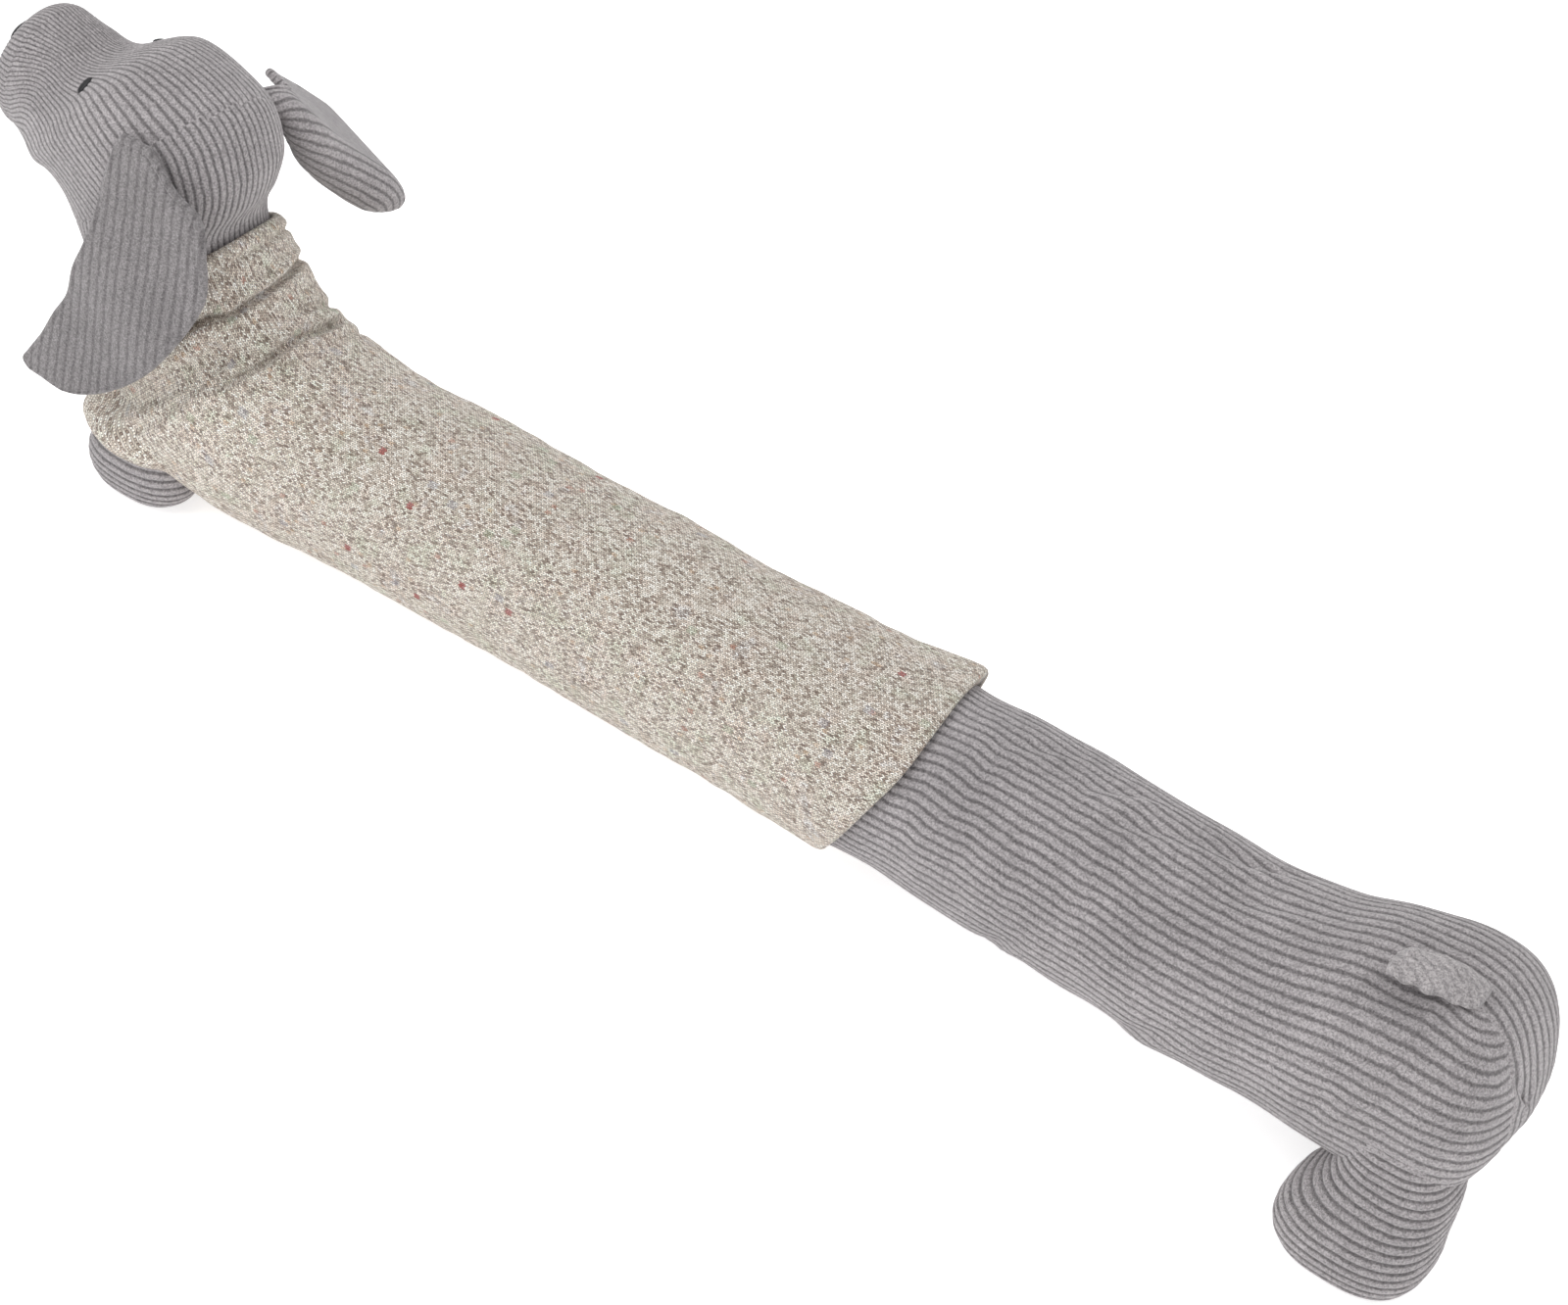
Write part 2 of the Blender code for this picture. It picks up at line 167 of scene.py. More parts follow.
# Hind leg and front paw, as level rings. height, front_x, rear_x, outer_y, inner_y
HIND_LEG = [
    (0.0, 37.7, 42.9, -6.7, -2.4),
    (0.6, 36.9, 43.5, -7.3, -1.8),
    (1.6, 36.5, 43.8, -7.5, -1.5),
    (3.0, 36.8, 43.8, -7.3, -1.4),
    (4.6, 37.9, 43.8, -6.7, -1.3),
    (6.2, 38.4, 43.7, -6.1, -1.2),
    (8.6, 38.4, 43.2, -5.8, -1.0),
    (10.7, 38.8, 42.4, -5.1, -0.9),
]
FRONT_PAW = [
    (0.0, -36.6, -32.2, -4.4, -1.5),
    (0.6, -37.3, -31.5, -4.9, -1.0),
    (1.6, -37.6, -31.0, -5.2, -0.9),
    (2.8, -37.4, -31.0, -5.2, -0.9),
    (4.4, -36.5, -31.3, -4.7, -1.1),
]
FAR_LEG_FORWARD = -1.6
LEG_MIDDLE_Y = -1.1
PAW_MIDDLE_Y = 0.0
LEG_SQUARENESS = 2.6
PAW_SQUARENESS = 2.3

# Jumper from the waist hem to the rolled neck. station: row of SPINE. stand: outside off the skin.
JUMPER = [
    (5.00, 0.30),
    (5.012, 0.44),
    (5.04, 0.52),
    (5.12, 0.50),
    (5.30, 0.44),
    (5.75, 0.38),
    (6.50, 0.38),
    (7.25, 0.38),
    (8.00, 0.42),
    (8.60, 0.48),
    (9.10, 0.58),
    (9.60, 0.66),
    (10.2, 0.66),
    (10.8, 0.80),
    (11.4, 0.74),
    (12.0, 0.66),
    (12.3, 0.64),
    (12.45, 0.58),
    (12.55, 0.46),
    (12.60, 0.28),
]
JUMPER_INSIDE = 0.12
LEAST_STAND = 0.15
WALES = 176
COURSE = 0.155

# Rings of the jumper: rows of the turned hem, spacing from there to the collar's row, spacing
# beyond it, and points round a ring. Inside it, rings from the neck to a row and on to the hem.
HEM_EDGE = (5.0, 5.004, 5.012, 5.025, 5.04, 5.055)
TORSO_STEP = 0.34
COLLAR_ROW = 8.4
COLLAR_STEP = 0.115
JUMPER_COLUMNS = 288
INNER_ROW = 9.0
INNER_RINGS = (16, 10)

# Row from which the courses of the knit are counted, and row where the rim's rise begins.
FIRST_COURSE_ROW = 8.0
RIM_START = 11.6

# Flecks in the yarn: seed, threshold of chance, strength, cells per wale and per course, colour.
FLECKS = [
    (3.0, 0.99880, 0.80, 0.55, 0.42, (0.360, 0.050, 0.045)),
    (7.0, 0.99700, 0.50, 0.80, 0.50, (0.480, 0.200, 0.130)),
    (11.0, 0.99300, 0.30, 0.50, 0.30, (0.330, 0.450, 0.280)),
    (17.0, 0.99300, 0.26, 0.50, 0.30, (0.320, 0.370, 0.500)),
    (23.0, 0.99000, 0.45, 1.00, 0.55, (0.600, 0.400, 0.240)),
    (29.0, 0.98800, 0.50, 1.00, 0.55, (0.200, 0.150, 0.125)),
]

# Row of the hem at each angle from the back towards the dog's left.
HEM_ROWS = [
    (-180.0, 5.16),
    (-110.0, 5.04),
    (-46.0, 4.95),
    (-10.0, 4.92),
    (11.0, 4.89),
    (45.0, 4.87),
    (64.0, 4.91),
    (81.0, 4.95),
    (102.0, 5.00),
    (120.0, 5.06),
    (180.0, 5.16),
]
HEM_REACH = 6.6

# Corner of the hem that stands off the back. angle, half width in degrees, rise
HEM_CORNER = (-46.0, 17.0, 0.42)

# Folds pressed into the jumper: width in rows, depth, bulge beside it, then angle and row of its line.
FOLDS = [
    (0.085, 0.60, 0.14, [(-44, 11.2), (-24, 11.1), (2, 11.0), (26, 11.02), (36, 11.26), (62, 11.36)]),
    (0.090, 0.22, 0.08, [(-110, 11.3), (-44, 11.2)]),
    (0.085, 0.55, 0.20, [(-38, 9.55), (-13, 9.6), (5, 9.72), (25, 9.70), (35, 9.8), (52, 9.95)]),
    (0.095, 0.24, 0.10, [(-110, 9.95), (-60, 9.98), (-27, 10.08), (-5, 10.2)]),
    (0.095, 0.20, 0.10, [(-90, 9.25), (-33, 9.28), (-8, 9.18)]),
    (0.260, 1.10, 0.02, [(38, 10.45), (50, 10.38), (72, 10.55), (100, 10.75), (125, 11.0)]),
    (0.090, 0.24, 0.08, [(38, 9.95), (62, 10.15), (90, 10.2), (120, 10.3)]),
    (0.080, 0.16, 0.06, [(8, 9.35), (35, 9.5), (64, 9.7)]),
    (0.110, 0.16, 0.06, [(-70, 12.0), (-20, 12.02), (22, 12.06)]),
    (0.160, 0.30, 0.10, [(125, 10.0), (180, 10.1), (235, 10.0)]),
    (0.140, 0.30, 0.10, [(120, 11.3), (180, 11.2), (240, 11.3)]),
]
FOLD_FADE = 20.0

# Row by which the rolled neck's rim rises at each angle, and its bulges on the dog's left:
# angle, row, half width in degrees, half width in rows, rise.
RIM_ROWS = [
    (-180.0, 0.05),
    (-110.0, -0.05),
    (-50.0, -0.24),
    (-15.0, -0.02),
    (30.0, 0.02),
    (90.0, 0.06),
    (180.0, 0.05),
]
NECK_BULGES = [
    (145.0, 12.2, 40.0, 0.40, 1.30),
    (58.0, 11.75, 24.0, 0.28, 0.40),
]

# Sleeve over the top of a front paw: middle of the left one, and its half sizes.
SLEEVE_MIDDLE = (-34.2, -3.0, 4.5)
SLEEVE_SIZE = (3.75, 2.55, 2.15)

# Near ear hanging over the cheek. height, front_x, rear_x
# Then the place of its outer side, which splays out downwards and wraps round the cheek.
NEAR_EAR = [
    (23.45, -33.4, -31.9),
    (22.8, -33.8, -31.0),
    (21.8, -34.1, -29.9),
    (20.9, -34.3, -28.3),
    (19.0, -34.6, -27.8),
    (17.0, -35.1, -27.6),
    (15.2, -35.8, -28.2),
    (13.5, -36.1, -29.1),
    (12.0, -36.9, -30.1),
    (10.6, -37.5, -31.4),
    (9.4, -38.2, -32.9),
    (8.6, -38.6, -34.4),
    (8.25, -37.9, -35.7),
]
EAR_TOP_Y = -4.18
EAR_TOP_Z = 23.4
EAR_SPLAY = 0.2
EAR_WRAP = 0.012
EAR_WRAP_X = -33.5
EAR_SPACING = 0.085
EAR_COLUMNS = 100
EAR_PITCH = 0.575

# Both ears: half thickness, its share at the rim and how far in it is full, the seam's
# distance from the rim, width and depth, and the ribs' height.
EAR_HALF = 0.24
EAR_RIM_SHARE = 0.30
EAR_RIM_WIDTH = 0.30
EAR_SEAM = 0.42
EAR_SEAM_WIDTH = 0.09
EAR_SEAM_DEPTH = 0.055
EAR_RIB_HEIGHT = 0.022

# Far ear lifted out sideways with its rear edge rolled under.
# along, edge_x, edge_y, edge_z, flap_depth, roll_radius
FAR_EAR = [
    (-0.12, -33.0, 2.60, 21.9, 1.0, 0.20),
    (0.00, -32.1, 3.90, 21.9, 1.6, 0.30),
    (0.12, -31.0, 5.05, 21.5, 2.6, 0.50),
    (0.32, -30.1, 6.15, 20.0, 4.6, 0.80),
    (0.52, -29.8, 7.50, 18.2, 6.0, 1.00),
    (0.72, -29.3, 8.95, 16.5, 6.8, 1.05),
    (0.88, -28.8, 10.1, 15.2, 6.6, 1.00),
    (1.00, -28.4, 11.2, 14.0, 5.4, 0.80),
]
FLAP_WAY = (-0.95, 0.25, 0.08)
FAR_EAR_ROWS = 170
FLAP_COLUMNS = 70
ROLL_COLUMNS = 44
ROLL_TURN = math.pi * 1.12

# Ribs of the far ear: pitch, and how far they slant within a distance of the root.
FAR_EAR_PITCH = 0.40
FAR_EAR_SLANT = 2.75
FAR_EAR_TWIST = 5.0

# Patches of satin stitch on the head. half_long, half_wide, rise
EYE = (0.50, 0.27, 0.14)
EYE_ROW = 17.66
EYE_ANGLE = 40.0
EYE_LEAN = -16.0
NOSE = (0.95, 0.75, 0.30)
NOSE_SIZE = 0.38

# Stitches: gap under them, depth of their edge, width of a thread, and its height.
STITCH_GAP = 0.03
STITCH_EDGE = 0.10
THREAD = 0.055
THREAD_HEIGHT = 0.012

# Tail stub lying forwards on the rump: from base to tip. x, y, z, half_width, half_height
TAIL = [
    (41.5, -1.25, 14.78, 0.60, 0.32),
    (40.8, -1.40, 14.98, 0.95, 0.46),
    (39.9, -1.60, 15.15, 1.02, 0.53),
    (38.9, -1.85, 15.18, 1.00, 0.53),
    (38.0, -2.00, 15.08, 0.88, 0.50),
    (37.5, -2.10, 14.95, 0.52, 0.36),
]
TAIL_SQUARENESS = 2.4

# Ribs of the tail: what y and x count for, pitch and height.
TAIL_SLOPE = (0.8, 0.55)
TAIL_PITCH = 0.36
TAIL_RIB_HEIGHT = 0.012

# Camera of the photograph: place in metres, turn, tilt and roll in degrees, focal length in pixels.
CAMERA_PLACE = (0.7064, -1.0543, 1.2503)
CAMERA_TURN = -32.76
CAMERA_TILT = 43.28
CAMERA_ROLL = 6.22
CAMERA_FOCAL = 3651.0
PHOTO_WIDTH = 1600.0
SENSOR_WIDTH = 36.0

# Studio: half size, shade and glow of the floor, light of the world, and lamps.
# name, place, aim, size, power
FLOOR_HALF = 6.0
FLOOR_SHADE = 0.93
FLOOR_GLOW = 0.55
WORLD_LIGHT = 0.80
LAMPS = [
    ("key", (-0.9, -1.2, 2.2), (0.0, 0.0, 0.0), 1.6, 22.0),
    ("fill", (1.4, 1.2, 1.8), (0.1, 0.0, 0.0), 1.6, 10.0),
]

# Colours of the corduroy's grooves and ridges: plain; brushed flat and darkened as painted shade;
# flattened and lightened as painted sheen. The grooves are darker partly from the cloth's own colour and
# partly from painted shade.
CORDUROY = ((0.158, 0.147, 0.150), (0.345, 0.323, 0.329))
# Ear's copy: ridges close to the grooves for pile brushed flat, and darker all over as painted shade.
BRUSHED_AND_SHADED = ((0.158, 0.147, 0.150), (0.222, 0.209, 0.212))
# Tail's copy: ridges close to the grooves for flattened pile, and lighter all over as a painted sheen of
# pile seen from the side.
FLAT_AND_SHEEN = ((0.300, 0.282, 0.286), (0.365, 0.343, 0.346))


def place(points):
    """Metres in the shared frame for points in the tables' centimetres."""
    return (np.asarray(points, float) - np.array([ORIGIN_X, ORIGIN_Y, 0.0])) * CM


def along(rows, where):
    """Smooth values of a table at fractional row numbers."""
    rows = np.asarray(rows, float)
    last = len(rows) - 1
    where = np.clip(np.asarray(where, float), 0, last)
    low = np.minimum(where.astype(int), last - 1)
    part = (where - low)[:, None]
    near, far = rows[low], rows[low + 1]
    before = np.where((low > 0)[:, None], rows[np.maximum(low - 1, 0)], 2 * near - far)
    after = np.where((low < last - 1)[:, None], rows[np.minimum(low + 2, last)], 2 * far - near)
    slope = far - before
    bend = 2 * before - 5 * near + 4 * far - after
    turn = 3 * near - before - 3 * far + after
    return near + 0.5 * (slope * part + bend * part**2 + turn * part**3)


def round_box(angles, squareness):
    """Cosines and sines of a squared circle."""
    cosine, sine = np.cos(angles), np.sin(angles)
    size = (np.abs(cosine) ** squareness + np.abs(sine) ** squareness) ** (-1 / squareness)
    return cosine * size, sine * size


def skin(rows, angles, stand=0.0, squareness=SKIN_SQUARENESS, size=1.0, out=0.0):
    """Rings of the skin, one for each row, starting at the back and passing the dog's left first."""
    rows = np.atleast_2d(rows)
    top_x, top_z, under_x, under_z, mid_y, half_width, widest = rows.T[:, :, None]
    top = np.stack([top_x, mid_y, top_z], -1)
    under = np.stack([under_x, mid_y, under_z], -1)
    middle = under + widest[..., None] * (top - under)
    way = (top - under) / np.linalg.norm(top - under, axis=-1, keepdims=True)
    up = np.linalg.norm(top - middle, axis=-1) + stand
    down = np.linalg.norm(middle - under, axis=-1) + stand
    high, side = round_box(angles, squareness)
    reach = np.where(high > 0, up, down) * high * size
    across = -(half_width + stand) * side * size
    points = middle + reach[..., None] * way
    points = points + across[..., None] * np.array([0.0, 1.0, 0.0])
    return points + np.stack([out + 0 * reach, 0 * reach, 0 * reach], -1)


def end_sizes(count, smallest):
    """Sizes of the rings of a rounded end, from its widest one inwards."""
    size = np.sin(np.linspace(math.pi / 2, 0, count)[1:]) ** END_SPACING
    return size[size > smallest]


def end_reach(end, size):
    """Distance beyond the last row at which a rounded end's ring has this size."""
    depth, roundness, _ = end
    return depth * (1 - size**roundness) ** (1 / roundness)


def even_places(start, end, spacing):
    """Row numbers from start to end about this far apart along the dog, and the distance of each."""
    dense = np.linspace(start, end, 600)
    rows = along(SPINE, dense)
    steps = np.diff(rows[:, :4], axis=0)
    over, beneath = np.hypot(steps[:, 0], steps[:, 1]), np.hypot(steps[:, 2], steps[:, 3])
    travelled = np.concatenate([[0.0], np.cumsum((over + beneath) / 2)])
    count = int(math.ceil(travelled[-1] / spacing))
    distance = np.linspace(0, travelled[-1], count + 1)
    return np.interp(distance, travelled, dense), distance


def outward(points, wrap=True):
    """Unit normals of a grid of points, facing away from its middle."""
    down = np.gradient(points, axis=0)
    if wrap:
        across = (np.roll(points, -1, axis=1) - np.roll(points, 1, axis=1)) / 2
    else:
        across = np.gradient(points, axis=1)
    normal = np.cross(down, across)
    normal /= np.maximum(np.linalg.norm(normal, axis=2, keepdims=True), 1e-9)
    if (normal * (points - points.mean(axis=(0, 1)))).sum() < 0:
        normal = -normal
    return normal


def travelled_down(points):
    """Distance along each column of a grid, from its first row."""
    steps = np.linalg.norm(np.diff(points, axis=0), axis=2)
    return np.vstack([np.zeros(points.shape[1]), np.cumsum(steps, axis=0)])


def travelled_across(points):
    """Distance along each row of a grid, from its first column."""
    return travelled_down(points.transpose(1, 0, 2)).T


def waves(table, distance, angle):
    """Smooth unevenness round a tube, made of a few seeded sine waves."""
    seed, count, longest, shortest, height = table
    chance = np.random.default_rng(seed)
    total = 0.0
    for _ in range(count):
        length = chance.uniform(shortest, longest)
        turns = chance.integers(-4, 5)
        start = chance.uniform(0, 6.3)
        total = total + np.sin(2 * math.pi * distance / length + turns * angle + start)
    return height * (total / math.sqrt(count))


def rib_shape(phase):
    """Height across a rib, from 0 in the groove to 1 on the ridge at whole numbers."""
    return np.abs(np.cos(math.pi * phase)) ** 0.72


def ease(value, low, high):
    """Smooth step from 0 at low to 1 at high."""
    part = np.clip((value - low) / (high - low), 0, 1)
    return part * part * (3 - 2 * part)


def smoothed(values, times):
    """Values on a tube's grid, each blended a number of times with its neighbours."""
    for _ in range(times):
        beside = np.roll(values, 1, axis=1) + np.roll(values, -1, axis=1)
        padded = np.concatenate([values[:1], values, values[-1:]])
        values = (2 * values + beside + padded[:-2] + padded[2:]) / 6
    return values


def skin_at(rows, angles, stand):
    """Points of the skin where each has its own row number, angle and stand."""
    rows, angles, stand = np.broadcast_arrays(rows, angles, stand)
    found = skin(along(SPINE, rows.ravel()), angles.reshape(-1, 1), stand.reshape(-1, 1))
    return found.reshape(*rows.shape, 3)


def round_line(table, degrees):
    """Values of a table by angle, read smoothly all the way round."""
    table = np.array(table)
    total = 0.0
    for shift in range(-12, 13, 3):
        total = total + np.interp(degrees + shift, table[:, 0], table[:, 1], period=360)
    return total / 9


def grid_piece(name, points, material, values, wrap=True, caps=False, loop=False):
    """Mesh object of a grid of points. values holds the pattern's two numbers for each corner."""
    rows, columns = points.shape[:2]
    row, column = np.meshgrid(
        np.arange(rows if loop else rows - 1), np.arange(columns if wrap else columns - 1), indexing="ij"
    )
    corners = [(row, column), (row, column + 1), (row + 1, column + 1), (row + 1, column)]
    quads = np.stack([(a % rows) * columns + b % columns for a, b in corners], -1).reshape(-1, 4)
    flat = points.reshape(-1, 3)
    if callable(values):
        quad_values = values(corners)
    else:
        quad_values = np.stack([values[a, b] for a, b in corners], 2).reshape(-1, 4, 2)
    faces, face_values = quads.tolist(), list(quad_values.reshape(-1, 2))
    if caps:
        for ring, turned in ((0, True), (rows - 1, False)):
            centre = len(flat)
            flat = np.vstack([flat, points[ring].mean(axis=0)])
            for side in range(columns):
                first, second = ring * columns + side, ring * columns + (side + 1) % columns
                faces.append((second, first, centre) if turned else (first, second, centre))
                face_values += [quad_values[0, 0]] * 3
    return mesh_piece(name, flat, faces, np.array(face_values), material)


def mesh_piece(name, flat, faces, corner_values, material):
    """Object of these points and faces, turned to face outwards, with its pattern map."""
    placed = place(flat)
    quads = np.array([face for face in faces if len(face) == 4])
    a, b, c, d = (placed[quads[:, k]] for k in range(4))
    volume = (a * np.cross(b, c)).sum() + (a * np.cross(c, d)).sum()
    if volume < 0:
        start, turned = 0, []
        for face in faces:
            turned.append(corner_values[start:start + len(face)][::-1])
            start += len(face)
        corner_values = np.vstack(turned)
        faces = [tuple(reversed(face)) for face in faces]
    mesh = bpy.data.meshes.new(name)
    mesh.from_pydata(placed.tolist(), [], faces)
    mesh.polygons.foreach_set("use_smooth", [True] * len(faces))
    pattern = mesh.uv_layers.new(name="pattern")
    pattern.data.foreach_set("uv", np.asarray(corner_values, np.float32).ravel())
    mesh.materials.append(material)
    made = bpy.data.objects.new(name, mesh)
    bpy.context.scene.collection.objects.link(made)
    return made


def wrapped(first, second, whole):
    """Corner values for a closed tube: first gains a whole number of repeats at the last column."""
    closing = np.concatenate([first, first[:, :1] + whole], axis=1)
    second = np.concatenate([second, second[:, :1]], axis=1)
    return np.stack([closing, second], -1)


class Nodes:
    """Short way to build a material's nodes."""

    def __init__(self, name):
        self.material = bpy.data.materials.new(name)
        self.material.use_nodes = True
        self.tree = self.material.node_tree
        self.surface = self.tree.nodes["Principled BSDF"]

    def add(self, kind, *inputs, out=0, named=None, **settings):
        """A node with its inputs set or linked in order. Gives one of its outputs."""
        made = self.tree.nodes.new(kind)
        for key, value in settings.items():
            setattr(made, key, value)
        pairs = [(made.inputs[k], value) for k, value in enumerate(inputs)]
        pairs += [(made.inputs[key], value) for key, value in (named or {}).items()]
        for socket, value in pairs:
            if isinstance(value, bpy.types.NodeSocket):
                self.tree.links.new(value, socket)
            elif value is not None:
                socket.default_value = value
        return made.outputs[out]

    def math(self, operation, a, b=None, c=None):
        return self.add("ShaderNodeMath", a, b, c, operation=operation)

    def spread(self, value, low, high, to_low=0.0, to_high=1.0):
        """value from low..high to to_low..to_high, smoothly and clamped."""
        return self.add(
            "ShaderNodeMapRange", value, low, high, to_low, to_high, interpolation_type="SMOOTHSTEP"
        )

    def mix(self, share, first, second, way="MIX"):
        return self.add("ShaderNodeMixRGB", share, first, second, blend_type=way)

    def vector(self, x, y, z=0.0):
        return self.add("ShaderNodeCombineXYZ", x, y, z)

    def noise(self, vector, scale, detail=2.0, rough=0.5):
        named = {"Vector": vector, "Scale": scale, "Detail": detail, "Roughness": rough}
        return self.add("ShaderNodeTexNoise", named=named)

    def bump(self, strength, distance, height):
        named = {"Strength": strength, "Distance": distance, "Height": height}
        return self.add("ShaderNodeBump", named=named)

    def object_place(self):
        """Place on the object, in metres."""
        return self.add("ShaderNodeTexCoord", out=3)

    def shaded(self, colour, light):
        """colour made lighter or darker by light."""
        return self.mix(1.0, colour, self.vector(light, light, light), "MULTIPLY")

    def pattern(self):
        """The two numbers of the pattern map."""
        both = self.add("ShaderNodeUVMap", uv_map="pattern")
        apart = self.add("ShaderNodeSeparateXYZ", both)
        return apart, apart.node.outputs[1]

    def set(self, **values):
        for key, value in values.items():
            socket = self.surface.inputs[key.replace("_", " ")]
            if isinstance(value, bpy.types.NodeSocket):
                self.tree.links.new(value, socket)
            else:
                socket.default_value = value


def corduroy_material(name, groove, ridge):
    """Ribbed pile: pale ridges, grooves darker partly from the cloth's own colour and partly from painted
    shade, and short tufts painted lighter as if catching the light.
    """
    make = Nodes(name)
    rib, length = make.pattern()
    spot = make.object_place()
    wander = make.math("MULTIPLY_ADD", make.noise(spot, 130.0, 3.0), 0.36, -0.18)
    turn = make.math("MULTIPLY", make.math("ADD", rib, wander), 2 * math.pi)
    high = make.math("MULTIPLY_ADD", make.math("COSINE", turn), 0.5, 0.5)
    across, down = make.math("MULTIPLY", rib, 3.2), make.math("MULTIPLY", length, 10.0)
    tuft = make.noise(make.vector(across, down), 1.0, 3.0, 0.6)
    fuzz = make.noise(spot, 2300.0, 2.0, 0.6)
    nap = make.noise(spot, 900.0, 3.0, 0.65)
    cloud = make.noise(spot, 26.0, 3.0, 0.5)
    # Grooves darker than ridges, partly the cloth's own colour and partly painted shade; tufts painted
    # lighter as highlights.
    lit = make.math("ADD", high, make.math("MULTIPLY_ADD", tuft, 0.80, -0.40))
    lit = make.spread(lit, -0.05, 0.55)
    colour = make.mix(lit, (*groove, 1), (*ridge, 1))
    # fuzz is the pile's random speckle; nap and cloud are painted sheen, lighter and darker patches where
    # the pile lies different ways.
    light = make.spread(fuzz, 0.34, 0.66, 0.78, 1.22)
    light = make.math("MULTIPLY", light, make.spread(nap, 0.34, 0.66, 0.70, 1.30))
    light = make.math("MULTIPLY", light, make.spread(cloud, 0.30, 0.70, 0.92, 1.07))
    colour = make.shaded(colour, light)
    height = make.math("MULTIPLY_ADD", lit, 0.45, make.math("MULTIPLY", fuzz, 0.50))
    coarse = make.math("MULTIPLY_ADD", tuft, 0.35, make.math("MULTIPLY", nap, 0.6))
    bump = make.bump(0.8, 0.0006, make.math("ADD", height, coarse))
    make.set(Base_Color=colour, Normal=bump, Roughness=0.92, Specular_IOR_Level=0.15)
    make.set(Sheen_Weight=0.25, Sheen_Roughness=0.45)
    return make.material


def fill_ramp(ramp, stops):
    """Colour stops of a ramp."""
    while len(ramp.elements) > 1:
        ramp.elements.remove(ramp.elements[-1])
    for index, (position, colour) in enumerate(stops):
        element = ramp.elements[0] if index == 0 else ramp.elements.new(position)
        element.position = position
        element.color = (*colour, 1.0)


def knit_material():
    """Fine oatmeal jersey knit with red, rust, green, blue and brown flecks in its yarn."""
    make = Nodes("knit")
    wale, course = make.pattern()
    spot = make.object_place()
    inside = make.math("SUBTRACT", make.math("FRACT", wale), 0.5)
    side = make.math("MULTIPLY", make.math("ABSOLUTE", inside), 2.0)
    climb = make.math("ADD", course, make.math("MULTIPLY", side, 0.85))
    loop = make.math("FRACT", climb)
    loop_round = make.math("SINE", make.math("MULTIPLY", loop, math.pi))
    leg_place = make.math("MULTIPLY_ADD", side, 2.0, -1.0)
    leg_round = make.math("SUBTRACT", 1.0, make.math("MULTIPLY", leg_place, leg_place))
    high = make.math("POWER", loop_round, 0.7)
    high = make.math("MULTIPLY", high, make.math("POWER", leg_round, 0.45))
    half = make.math("FLOOR", make.math("MULTIPLY", wale, 2.0))
    cell = make.vector(half, make.math("FLOOR", climb))
    chance = make.add("ShaderNodeTexWhiteNoise", cell, noise_dimensions="2D")
    yarn = make.add("ShaderNodeValToRGB", chance)
    stops = [
        (0.00, (0.220, 0.165, 0.135)),
        (0.08, (0.340, 0.275, 0.230)),
        (0.24, (0.500, 0.435, 0.375)),
        (0.45, (0.640, 0.575, 0.505)),
        (0.68, (0.760, 0.705, 0.635)),
        (0.88, (0.870, 0.830, 0.770)),
        (1.00, (0.930, 0.905, 0.860)),
    ]
    fill_ramp(yarn.node.color_ramp, stops)
    tint = make.noise(spot, 75.0, 3.0, 0.55)
    pastel = make.add("ShaderNodeValToRGB", tint)
    tints = [
        (0.32, (0.93, 0.97, 0.91)),
        (0.44, (1.00, 0.99, 0.97)),
        (0.52, (1.00, 1.00, 0.99)),
        (0.60, (1.00, 0.95, 0.92)),
        (0.70, (0.95, 0.96, 1.00)),
    ]
    fill_ramp(pastel.node.color_ramp, tints)
    colour = make.mix(1.0, yarn, pastel, "MULTIPLY")
    for seed, share, strength, per_wale, per_course, fleck_colour in FLECKS:
        wide = make.vector(
            make.math("FLOOR", make.math("MULTIPLY_ADD", wale, per_wale, seed)),
            make.math("FLOOR", make.math("MULTIPLY_ADD", climb, per_course, seed)),
            seed,
        )
        rare = make.add("ShaderNodeTexWhiteNoise", wide, noise_dimensions="3D")
        chosen = make.math("MULTIPLY", make.math("GREATER_THAN", rare, share), strength)
        colour = make.mix(chosen, colour, (*fleck_colour, 1))
    fuzz = make.noise(spot, 2600.0, 2.0, 0.6)
    # Painted shade: the knit is darker where its loops dip between one another and lighter on their tops,
    # with random speckle from fuzz.
    depth = make.math("MULTIPLY_ADD", high, 1.25, 0.26)
    depth = make.math("MULTIPLY", depth, make.spread(fuzz, 0.3, 0.7, 0.86, 1.14))
    colour = make.shaded(colour, depth)
    bump = make.bump(0.9, 0.0007, make.math("ADD", high, make.math("MULTIPLY", fuzz, 0.45)))
    make.set(Base_Color=colour, Normal=bump, Roughness=0.95, Specular_IOR_Level=0.12)
    make.set(Sheen_Weight=0.2, Sheen_Roughness=0.5)
    return make.material


def thread_material():
    """Black embroidery thread."""
    make = Nodes("satin_stitch")
    spot = make.object_place()
    strand = make.noise(spot, 3000.0, 2.0, 0.5)
    colour = make.mix(strand, (0.004, 0.004, 0.005, 1), (0.020, 0.019, 0.021, 1))
    bump = make.bump(0.4, 0.0002, strand)
    make.set(Base_Color=colour, Normal=bump, Roughness=0.45, Specular_IOR_Level=0.4)
    return make.material


def settle(piece, nodes):
    """Ties a piece to the frame, and hides the model's parts that it stands for."""
    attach(piece, "root")
    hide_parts(*nodes)


def ring_angles(count):
    return np.linspace(0, 2 * math.pi, count, endpoint=False)


def inverse(shape, values, lowest, highest):
    """Angle between lowest and highest at which shape, read along it, has these values."""
    angles = np.linspace(lowest, highest, 2000)
    found = shape(angles)
    order = np.argsort(found)
    return np.interp(values, found[order], angles[order])


